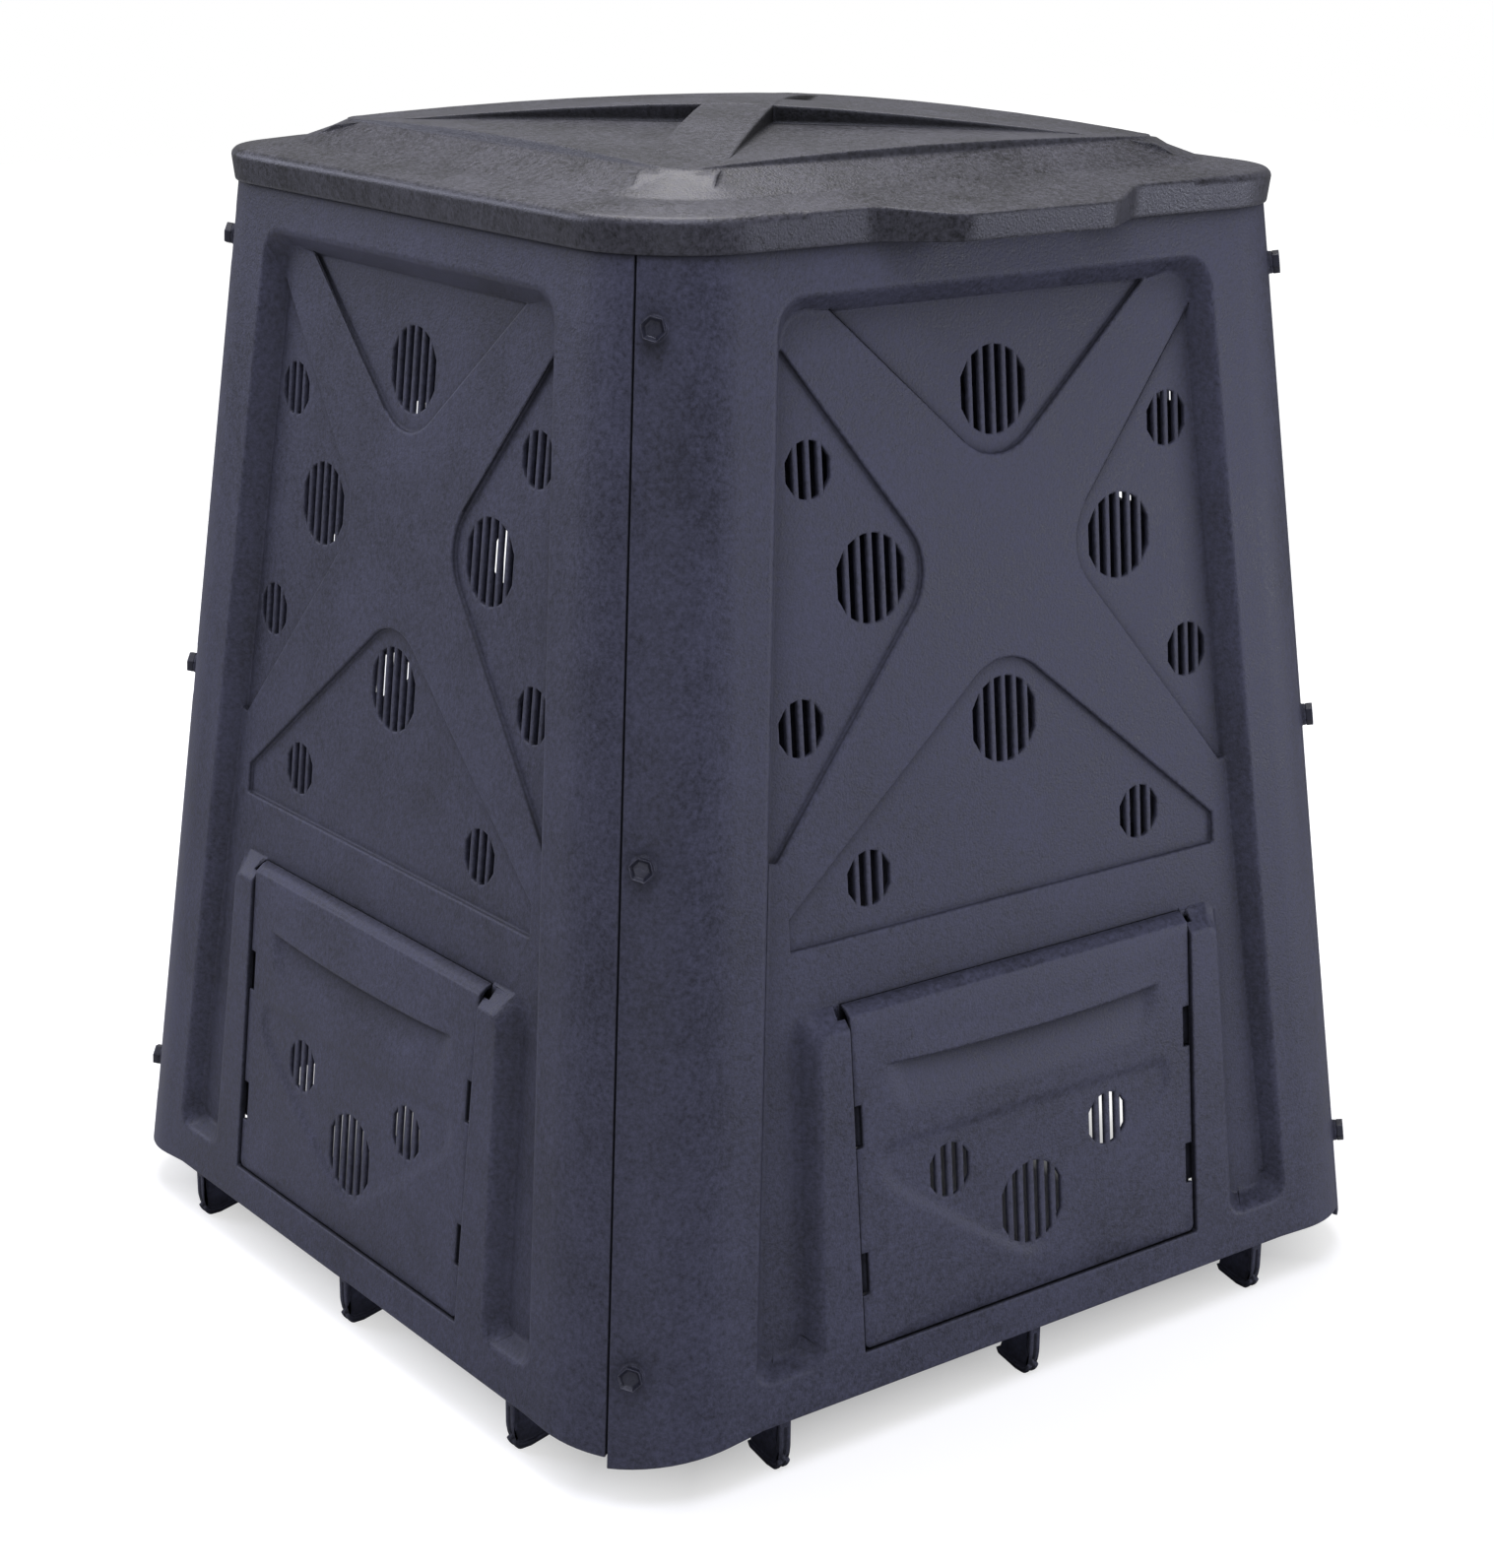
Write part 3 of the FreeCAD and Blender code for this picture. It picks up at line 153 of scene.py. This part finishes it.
def grain_and_painted_light_group():
    """Grain and mottling of a moulded plastic skin, with painted shade in its hollows and a painted highlight
    along its edges.
    """
    tree = bpy.data.node_groups.new("grain and painted light", "ShaderNodeTree")
    for name, kind, value in (
        ("Colour", "NodeSocketColor", (0.03, 0.03, 0.035, 1)),
        ("Edge highlight colour", "NodeSocketColor", (0.06, 0.06, 0.07, 1)),
        ("Mottle", "NodeSocketFloat", 0.25),
        ("Grain depth", "NodeSocketFloat", 0.3),
        ("Roughness", "NodeSocketFloat", 0.5),
        ("Edge radius", "NodeSocketFloat", 0.0012),
    ):
        socket = tree.interface.new_socket(name, in_out="INPUT", socket_type=kind)
        socket.default_value = value
    for name, kind in (
        ("Colour", "NodeSocketColor"),
        ("Roughness", "NodeSocketFloat"),
        ("Normal", "NodeSocketVector"),
    ):
        tree.interface.new_socket(name, in_out="OUTPUT", socket_type=kind)
    given = tree.nodes.new("NodeGroupInput").outputs
    result = tree.nodes.new("NodeGroupOutput").inputs
    place = add_node(tree, "ShaderNodeTexCoord").outputs["Object"]

    clouds = add_node(tree, "ShaderNodeTexNoise", Vector=place, Scale=mottle_per_metre, Detail=6,
                      Roughness=0.7)
    specks = add_node(tree, "ShaderNodeTexNoise", Vector=place, Scale=speckle_per_metre, Detail=3,
                      Roughness=0.75)
    both = add_node(tree, "ShaderNodeMath", operation="MULTIPLY_ADD", _0=specks.outputs["Fac"],
                    _1=speckle_weight, _2=clouds.outputs["Fac"])
    swing = add_node(tree, "ShaderNodeMapRange", _0=both.outputs[0], _1=mottle_low, _2=mottle_high,
                     _3=-1.0, _4=1.0)
    share = add_node(tree, "ShaderNodeMath", operation="MULTIPLY_ADD", _0=swing.outputs[0],
                     _1=given["Mottle"], _2=1.0)
    # Painted shade: the colour darkens where ambient occlusion finds a hollow, a crease or an overhang.
    hollow = add_node(tree, "ShaderNodeAmbientOcclusion", samples=6, Distance=hollow_reach)
    painted_shade = add_node(tree, "ShaderNodeMapRange", _0=hollow.outputs["AO"], _1=painted_shade_closed,
                     _2=painted_shade_open, _3=painted_shade_tone, _4=1.0)
    mottle_and_painted_shade = add_node(tree, "ShaderNodeMath", operation="MULTIPLY", _0=share.outputs[0],
                    _1=painted_shade.outputs[0])
    toned = add_node(tree, "ShaderNodeVectorMath", operation="SCALE", Vector=given["Colour"],
                     Scale=mottle_and_painted_shade.outputs[0])

    soft = add_node(tree, "ShaderNodeBevel", samples=4, Radius=given["Edge radius"])
    true_normal = add_node(tree, "ShaderNodeNewGeometry").outputs["Normal"]
    # Painted highlight: where the softened normal turns from the true one at a bend, the colour is mixed
    # toward the paler edge colour, flecked by the specks.
    turn = add_node(tree, "ShaderNodeVectorMath", operation="DOT_PRODUCT", _0=soft.outputs[0],
                    _1=true_normal)
    edge = add_node(tree, "ShaderNodeMapRange", _0=turn.outputs["Value"], _1=edge_highlight_from, _2=edge_highlight_full,
                    _3=0.0, _4=1.0)
    edge_highlight = add_node(tree, "ShaderNodeMath", operation="MULTIPLY", _0=edge.outputs[0],
                    _1=specks.outputs["Fac"])
    mixed = add_node(tree, "ShaderNodeMix", data_type="RGBA")
    tree.links.new(edge_highlight.outputs[0], mixed.inputs["Factor"])
    tree.links.new(toned.outputs[0], mixed.inputs[6])
    tree.links.new(given["Edge highlight colour"], mixed.inputs[7])
    tree.links.new(mixed.outputs[2], result["Colour"])

    rough = add_node(tree, "ShaderNodeMath", operation="MULTIPLY_ADD", _0=swing.outputs[0],
                     _1=roughness_swing, _2=given["Roughness"])
    duller = add_node(tree, "ShaderNodeMapRange", _0=hollow.outputs["AO"], _1=dull_closed,
                      _2=dull_open, _3=dull_gain, _4=0.0)
    dulled = add_node(tree, "ShaderNodeMath", operation="ADD", _0=rough.outputs[0],
                      _1=duller.outputs[0])
    tree.links.new(dulled.outputs[0], result["Roughness"])
    fine = add_node(tree, "ShaderNodeTexNoise", Vector=place, Scale=grain_per_metre, Detail=2,
                    Roughness=0.5)
    bump = add_node(tree, "ShaderNodeBump", Strength=given["Grain depth"], Distance=grain_height,
                    Height=fine.outputs["Fac"], Normal=soft.outputs[0])
    tree.links.new(bump.outputs[0], result["Normal"])
    return tree


grain_and_painted_light = grain_and_painted_light_group()


def plastic(name, colour, edge_highlight, roughness, mottle, edge, grain=0.5):
    """A moulded plastic with the shared grain, painted shade in its hollows and a paler edge colour that
    paints a highlight along its bends; the edge is the radius that its bends are softened by.
    """
    material = bpy.data.materials.new(name)
    material.use_nodes = True
    tree = material.node_tree
    skin = tree.nodes["Principled BSDF"]
    skin.inputs["Specular IOR Level"].default_value = specular_level
    surface = tree.nodes.new("ShaderNodeGroup")
    surface.node_tree = grain_and_painted_light
    surface.inputs["Colour"].default_value = (*colour, 1)
    surface.inputs["Edge highlight colour"].default_value = (*edge_highlight, 1)
    surface.inputs["Mottle"].default_value = mottle
    surface.inputs["Grain depth"].default_value = grain
    surface.inputs["Roughness"].default_value = roughness
    surface.inputs["Edge radius"].default_value = edge
    tree.links.new(surface.outputs["Colour"], skin.inputs["Base Color"])
    tree.links.new(surface.outputs["Roughness"], skin.inputs["Roughness"])
    tree.links.new(surface.outputs["Normal"], skin.inputs["Normal"])
    return material


# The second colour is the paler edge colour that paints a highlight along the panels' bends.
panel_plastic = plastic("panel plastic", (0.05, 0.0515, 0.082), (0.12, 0.122, 0.165), 0.54,
                        mottle=0.5, edge=0.0024)


def is_fold(edge):
    """True where two whole faces meet at a clear angle."""
    if len(edge.link_faces) != 2 or edge.calc_length() < shortest_fold:
        return False
    whole = min(face.calc_area() for face in edge.link_faces) > smallest_face
    return whole and edge.calc_face_angle() > fold_angle


def borders_step(edge, normal):
    """True where one of the edge's faces is the low wall of a pocket."""
    for face in edge.link_faces:
        depths = [vert.co.dot(normal) for vert in face.verts]
        level = abs(face.normal.dot(normal))
        drop = max(depths) - min(depths)
        if level < steep_wall and abs(drop - pocket_step) < pocket_slack:
            return True
    return False


def is_slope_edge(edge):
    """True along the upper or lower edge of the sloping wall round the recess and its two ribs."""
    if len(edge.link_faces) != 2 or edge.calc_length() < slope_shortest:
        return False
    tilts = sorted(face.normal.dot(face_out) for face in edge.link_faces)
    depths = [-(vert.co - face_foot).dot(face_out) for vert in edge.verts]
    on_frame = all(abs(depth) < slope_slack for depth in depths)
    on_floor = all(abs(depth - floor_depth) < slope_slack for depth in depths)
    return (on_frame or on_floor) and tilts[1] > flat_tilt and slope_tilt_low < tilts[0] < slope_tilt_high


def whole_faces(node):
    """The node's own shape with its triangles merged into whole faces."""
    shape = bmesh.new()
    shape.from_mesh(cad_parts[node].data)
    bmesh.ops.remove_doubles(shape, verts=shape.verts, dist=weld_gap)
    bmesh.ops.dissolve_limit(shape, angle_limit=flat_angle, verts=shape.verts, edges=shape.edges)
    return shape


def rounded(shape, edges, offset, segments):
    """Round these edges of the shape to the given distance from each."""
    bmesh.ops.bevel(shape, geom=edges, offset=offset, offset_type="OFFSET", affect="EDGES",
                    segments=segments, profile=0.5, clamp_overlap=False, material=-1)


def finished(shape, name):
    """A smooth-shaded mesh made from the shape, which is freed."""
    for face in shape.faces:
        face.smooth = True
    mesh = bpy.data.meshes.new(name)
    shape.to_mesh(mesh)
    shape.free()
    return mesh


def stand(mesh, name, material, turn=0.0):
    """An object with this mesh, turned about the bin's upright axis."""
    placed = mesh.copy()
    placed.transform(Matrix.Rotation(math.radians(turn), 4, "Z"))
    placed.materials.append(material)
    piece = bpy.data.objects.new(name, placed)
    bpy.context.scene.collection.objects.link(piece)
    weighted = piece.modifiers.new("flat faces", "WEIGHTED_NORMAL")
    weighted.keep_sharp = True
    weighted.weight = face_weight
    return piece


sides = {"front": 0, "right": 90, "back": 180, "left": -90}
face_foot = Vector((0, -foot_line, wall_low))
face_out = Vector((0, -math.cos(face_lean), math.sin(face_lean)))
face_up = Vector((0, math.sin(face_lean), math.cos(face_lean)))
panel_shape = whole_faces("front_panel")
pocket_edges = [edge for edge in panel_shape.edges if is_fold(edge) and borders_step(edge, face_out)]
rounded(panel_shape, pocket_edges, pocket_round, 3)
rounded(panel_shape, [edge for edge in panel_shape.edges if is_slope_edge(edge)], slope_round, 4)
rounded(panel_shape, [edge for edge in panel_shape.edges if is_fold(edge)], edge_round, 2)
for vert in panel_shape.verts:
    inward = vert.co.y + foot_line
    foot = min(abs(vert.co.x), abs(abs(vert.co.x) - foot_across))
    if vert.co.z < foot_bend and inward > foot_root and foot < foot_half:
        vert.co.y -= inward * foot_taper * (1 - vert.co.z / foot_bend)
panel_mesh = finished(panel_shape, "panel_moulding")
for side, turn in sides.items():
    panel = stand(panel_mesh, side + "_panel_moulding", panel_plastic, turn)
    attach(panel, "bin")
    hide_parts(side + "_panel")


# Each door is a thinner moulding of the same plastic, a shallow tray that hangs over the opening by four
# hooks. It has a finger grip along its top and three vents.
# The second colour is the paler edge colour that paints a highlight along the doors' bends.
door_plastic = plastic("door plastic", (0.052, 0.0535, 0.085), (0.12, 0.122, 0.165), 0.54,
                       mottle=0.5, edge=0.0024)
skin_depth = 0.002
skin_slack = 0.00005
skin_half = 0.135
skin_top = 0.236
skin_flat = 0.999
front_flat = 0.9
grip_reach = 0.009
front_share = 0.0036
door_half = 0.138
door_high = 0.25
lip_up = 0.223
lip_skew = 0.000158
cut_step = 0.0035
cut_slack = 0.00003
cut_columns = 39
relief_foot = 0.0535
relief_rise = 0.7
relief_nose = 0.0106
relief_top = 0.164
relief_half = 0.129
relief_blend = 0.02
relief_deep = 0.0015
relief_soft = 0.0024
hood_up = 0.2165
hood_edge = 0.0003
hood_swell = 0.0009
hood_fade = 0.02
hood_ends = 0.03
hood_sag = 0.004
sag_reach = 0.03
sag_level = 0.6
scoop_low = 0.181
scoop_half = 0.121
scoop_deep = 0.006
scoop_end = 0.027
scoop_side = 0.018
scoop_bend = 0.12
scoop_thin = 0.5


def on_face(point):
    """How far a point is across, up and in on the front face."""
    spot = point - face_foot
    return spot.x, spot.dot(face_up), -spot.dot(face_out)


def eased(share):
    """A share from 0 to 1 that starts and ends softly."""
    share = min(max(share, 0.0), 1.0)
    return share * share * (3 - 2 * share)


def smooth_most(first, second):
    """The larger of two distances, with the corner where they meet rounded."""
    near = max(relief_blend - abs(first - second), 0) / relief_blend
    return max(first, second) + near * near * relief_blend / 4


def relief_at(across, height):
    """A rounded triangle round the door's three vents, pressed in a little with soft edges."""
    side = (relief_foot + relief_rise * math.hypot(across, relief_nose) - height) / math.hypot(1, relief_rise)
    outside = smooth_most(smooth_most(side, height - relief_top), abs(across) - relief_half)
    return relief_deep * eased(0.5 - outside / (2 * relief_soft))


def scoop_at(across, height):
    """The finger grip: a shallow scoop that deepens up to a hood, and the hood's own slight swell."""
    if height > hood_up:
        above = eased(1 - (height - hood_up) / hood_fade)
        return -hood_swell * above * eased((scoop_half - abs(across)) / hood_ends)
    share = (height - scoop_low) / (hood_up - scoop_low)
    drop = max(scoop_low + scoop_end - height, 0)
    half = scoop_half - scoop_end + math.sqrt(max(scoop_end ** 2 - drop ** 2, 0))
    ends = eased((half - abs(across)) / scoop_side)
    thin = 1 - scoop_thin * (abs(across) / scoop_half) ** 2
    slope = share * share / (share + scoop_bend) * (1 + scoop_bend) if share > 0 else 0.0
    return scoop_deep * slope * ends * thin


def skin_faces(shape):
    """The flat faces of the door's outer skin."""
    return [face for face in shape.faces if face.normal.dot(face_out) > skin_flat
            and abs(on_face(face.calc_center_median())[2] - skin_depth) < skin_slack]


def door_shape():
    """The front door with its skin made flat, filled afresh, cut fine, and pressed to shape."""
    shape = whole_faces("front_door")
    for face in list(shape.faces):
        across, height, depth = on_face(face.calc_center_median())
        if face.normal.dot(face_out) > front_flat and abs(across) < skin_half and depth < grip_reach:
            for vert in face.verts:
                vert.co += face_out * (on_face(vert.co)[2] - skin_depth)
                if abs(on_face(vert.co)[1] - lip_up) < skin_slack:
                    vert.co -= face_up * lip_skew
    bmesh.ops.remove_doubles(shape, verts=shape.verts, dist=weld_gap)
    crushed = [face for face in shape.faces
               if all(on_face(vert.co)[2] < skin_depth + skin_slack for vert in face.verts)]
    bmesh.ops.delete(shape, geom=crushed, context="FACES")
    outline = [edge for edge in shape.edges if len(edge.link_faces) == 1]
    bmesh.ops.triangle_fill(shape, edges=outline, use_beauty=True, normal=face_out)
    bmesh.ops.recalc_face_normals(shape, faces=shape.faces)
    bmesh.ops.dissolve_limit(shape, angle_limit=flat_angle, verts=shape.verts, edges=shape.edges)
    rounded(shape, [edge for edge in shape.edges if is_fold(edge)], edge_round, 2)
    bmesh.ops.triangulate(shape, faces=skin_faces(shape))
    row_count = round((skin_top - relief_foot) / cut_step)
    rows = [(face_up, relief_foot + cut_step * step) for step in range(row_count)]
    rows += [(face_up, hood_up - hood_edge), (face_up, hood_up + hood_edge)]
    rows += [(Vector((1, 0, 0)), cut_step * step) for step in range(-cut_columns, cut_columns + 1)]
    for normal, place in rows:
        skin = skin_faces(shape)
        edges = {edge for face in skin for edge in face.edges}
        verts = {vert for face in skin for vert in face.verts}
        bmesh.ops.bisect_plane(shape, geom=skin + list(edges) + list(verts), dist=cut_slack,
                               plane_co=face_foot + normal * place, plane_no=normal)
    for vert in shape.verts:
        across, height, depth = on_face(vert.co)
        if depth < front_share and height < door_high and abs(across) < door_half:
            pressed = relief_at(across, height) + scoop_at(across, height)
            near = eased(1 - abs(height - hood_up) / sag_reach)
            bow = hood_sag * ((across / scoop_half) ** 2 - sag_level) * near
            vert.co += face_up * bow - face_out * pressed
    return shape


door_mesh = finished(door_shape(), "door_moulding")
for side, turn in sides.items():
    door = stand(door_mesh, side + "_door_moulding", door_plastic, turn)
    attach(door, side + "_door_body")
    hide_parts(side + "_door")


# The lid is one moulded cover with a deep skirt that drops over the panels' top edges. Its top is
# dished between two diagonal ridges, and it is a little greyer and smoother than the panels.
# The second colour is the paler edge colour that paints a highlight along the lid's bends.
lid_plastic = plastic("lid plastic", (0.038, 0.0375, 0.047), (0.1, 0.1, 0.115), 0.4,
                      mottle=0.8, edge=0.0035)
skirt_low = 0.754
skirt_high = 0.7754
skirt_draft = 0.0075
skirt_roll = 0.0015
roll_low = 0.7705
roll_high = 0.7765
roll_out = 0.2
roll_angle = math.radians(25)


def on_skirt_roll(edge):
    """True for the two folds of the bevel round the skirt's upper edge, on its outside."""
    return all(roll_low < vert.co.z < roll_high and max(abs(vert.co.x), abs(vert.co.y)) > roll_out
               for vert in edge.verts)


lid_shape = whole_faces("lid")
rolls = [edge for edge in lid_shape.edges if on_skirt_roll(edge) and len(edge.link_faces) == 2
         and edge.calc_face_angle() > roll_angle]
rounded(lid_shape, rolls, skirt_roll, 3)
rounded(lid_shape, [edge for edge in lid_shape.edges if is_fold(edge)], edge_round, 2)
for vert in lid_shape.verts:
    if vert.co.z < skirt_high:
        share = 1 - skirt_draft * (skirt_high - vert.co.z) / (skirt_high - skirt_low)
        vert.co.x *= share
        vert.co.y *= share
lid = stand(finished(lid_shape, "lid_moulding"), "lid_moulding", lid_plastic)
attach(lid, "lid_body")
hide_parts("lid")


# Hexagon bolts and nuts of black nylon clamp the lapped corners, three to a corner. Each bolt's head has a
# shallow hollow in its end, and the nuts sit inside the bin.
fastener_round = 0.0005
hex_area = 0.00008
head_high = 0.0052
head_swell = 0.3
head_rim = 0.0026
head_hollow = 0.003
# The second, much paler colour paints a bright highlight round the edges of the heads and nuts.
bolt_nylon = plastic("bolt nylon", (0.045, 0.0465, 0.072), (0.2, 0.2, 0.25), 0.28,
                     mottle=0.1, edge=0.0009, grain=0.05)
for node in list(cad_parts):
    if node.startswith(("bolt_", "nut_")):
        fastener_shape = whole_faces(node)
        caps = [face for face in fastener_shape.faces
                if len(face.verts) == 6 and face.calc_area() > hex_area]
        if node.startswith("bolt_") and caps:
            cap = max(caps, key=lambda face: face.calc_center_median().xy.length)
            middle = cap.calc_center_median()
            axis = cap.normal.copy()
            for vert in fastener_shape.verts:
                across = vert.co - middle
                along = across.dot(axis)
                if along > -head_high:
                    vert.co += (across - axis * along) * head_swell
            bmesh.ops.inset_individual(fastener_shape, faces=[cap], thickness=head_rim, depth=-head_hollow)
        folds = [edge for edge in fastener_shape.edges if is_fold(edge)]
        rounded(fastener_shape, folds, fastener_round, 2)
        fastener = stand(finished(fastener_shape, node), node + "_moulding", bolt_nylon)
        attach(fastener, "bin")
        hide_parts(node)


# The floor is plain white paper. The camera sees it with a glow that brings it almost to white, so that it
# keeps the bin's soft shadow. The glow is off under the bin and weaker near it, and rises to full white far
# away: painted shade under and round the bin.
floor_side = 14
floor_glow = 0.74
paper_tone = 0.5
paper_roughness = 0.9
paper_specular = 0.1
bin_half = cad_high.x
corner_share = 0.54
glow_inside = 0.12
glow_outside = 0.1
glow_full = 2.2
bpy.ops.mesh.primitive_plane_add(size=floor_side, location=(0, 0, 0))
floor = bpy.context.object
floor.name = "floor"
paper = bpy.data.materials.new("floor paper")
paper.use_nodes = True
tree = paper.node_tree
sheet = tree.nodes["Principled BSDF"]
sheet.inputs["Base Color"].default_value = (paper_tone, paper_tone, paper_tone, 1)
sheet.inputs["Roughness"].default_value = paper_roughness
sheet.inputs["Specular IOR Level"].default_value = paper_specular
path = add_node(tree, "ShaderNodeLightPath")
glow = add_node(tree, "ShaderNodeEmission", Color=(1, 1, 1, 1))
floor_place = add_node(tree, "ShaderNodeTexCoord").outputs["Object"]
spot = add_node(tree, "ShaderNodeSeparateXYZ", Vector=floor_place)
far_x = add_node(tree, "ShaderNodeMath", operation="ABSOLUTE", _0=spot.outputs["X"])
far_y = add_node(tree, "ShaderNodeMath", operation="ABSOLUTE", _0=spot.outputs["Y"])
square = add_node(tree, "ShaderNodeMath", operation="MAXIMUM", _0=far_x.outputs[0],
                  _1=far_y.outputs[0])
both_ways = add_node(tree, "ShaderNodeMath", operation="ADD", _0=far_x.outputs[0],
                     _1=far_y.outputs[0])
corner = add_node(tree, "ShaderNodeMath", operation="MULTIPLY", _0=both_ways.outputs[0],
                  _1=corner_share)
far = add_node(tree, "ShaderNodeMath", operation="MAXIMUM", _0=square.outputs[0],
               _1=corner.outputs[0])
# Painted shade: the camera glow is off under the middle of the bin and grows to its plain level across the
# last 12 cm inside the bin's outline. From 10 cm outside the outline it rises slowly to full white at 2.2 m,
# so the floor is darker under and round the bin.
near_clear = add_node(tree, "ShaderNodeMapRange", _0=far.outputs[0], _1=bin_half - glow_inside,
                      _2=bin_half, _3=0.0, _4=floor_glow)
far_clear = add_node(tree, "ShaderNodeMapRange", _0=far.outputs[0], _1=bin_half + glow_outside,
                     _2=glow_full, _3=0.0, _4=1 - floor_glow)
clear = add_node(tree, "ShaderNodeMath", operation="ADD", _0=near_clear.outputs[0],
                 _1=far_clear.outputs[0])
seen = add_node(tree, "ShaderNodeMath", operation="MULTIPLY", _0=path.outputs["Is Camera Ray"],
                _1=clear.outputs[0])
tree.links.new(seen.outputs[0], glow.inputs["Strength"])
added = tree.nodes.new("ShaderNodeAddShader")
tree.links.new(sheet.outputs[0], added.inputs[0])
tree.links.new(glow.outputs[0], added.inputs[1])
tree.links.new(added.outputs[0], tree.nodes["Material Output"].inputs["Surface"])
floor.data.materials.append(paper)


# The room is a white studio. It is plain white where the camera sees it, also through a clear surface, and
# dimmer as a light.
sky_strength = 0.28
world = bpy.data.worlds.new("studio")
bpy.context.scene.world = world
world.use_nodes = True
tree = world.node_tree
sky = tree.nodes["Background"]
sky.inputs["Color"].default_value = (1, 1, 1, 1)
path = add_node(tree, "ShaderNodeLightPath")
shown = add_node(tree, "ShaderNodeMath", operation="MAXIMUM", _0=path.outputs["Is Camera Ray"],
                 _1=path.outputs["Is Transmission Ray"])
level = add_node(tree, "ShaderNodeMapRange", _0=shown.outputs[0], _1=0.0, _2=1.0, _3=sky_strength, _4=1.0)
tree.links.new(level.outputs[0], sky.inputs["Strength"])


# Five soft boxes light the bin. Two hang overhead, a warm one for the lid and a cool one nearer to the
# camera. One stands behind on the left, and two stand low, on the right and in front.
def soft_box(name, place, aim, width, height, power, colour):
    """A lamp with a flat, rectangular face that is turned to the point it aims at."""
    data = bpy.data.lights.new(name, "AREA")
    data.shape = "RECTANGLE"
    data.size = width
    data.size_y = height
    data.energy = power
    data.color = colour
    lamp = bpy.data.objects.new(name, data)
    lamp.location = place
    lamp.rotation_euler = (Vector(aim) - Vector(place)).to_track_quat("-Z", "Y").to_euler()
    bpy.context.scene.collection.objects.link(lamp)


warm_white = (1, 0.98, 1)
cool_white = (0.79, 0.81, 1)
soft_box("overhead box", (0.2, 0.6, 2.6), (0, 0, 0.8), 1.6, 1.6, 44, warm_white)
soft_box("near overhead box", (-0.6, -0.8, 2.5), (0, 0, 0.5), 1.0, 1.0, 22, cool_white)
soft_box("left box", (-2.0, 2.8, 1.9), (0, 0, 0.5), 1.8, 1.4, 48, cool_white)
soft_box("right box", (2.6, -2.5, 0.3), (0, 0, 0.25), 2.4, 0.5, 38, cool_white)
soft_box("front box", (-1.7, -1.75, 0.3), (0, 0, 0.6), 0.7, 0.4, 4, cool_white)

bpy.context.scene.view_settings.view_transform = "Standard"
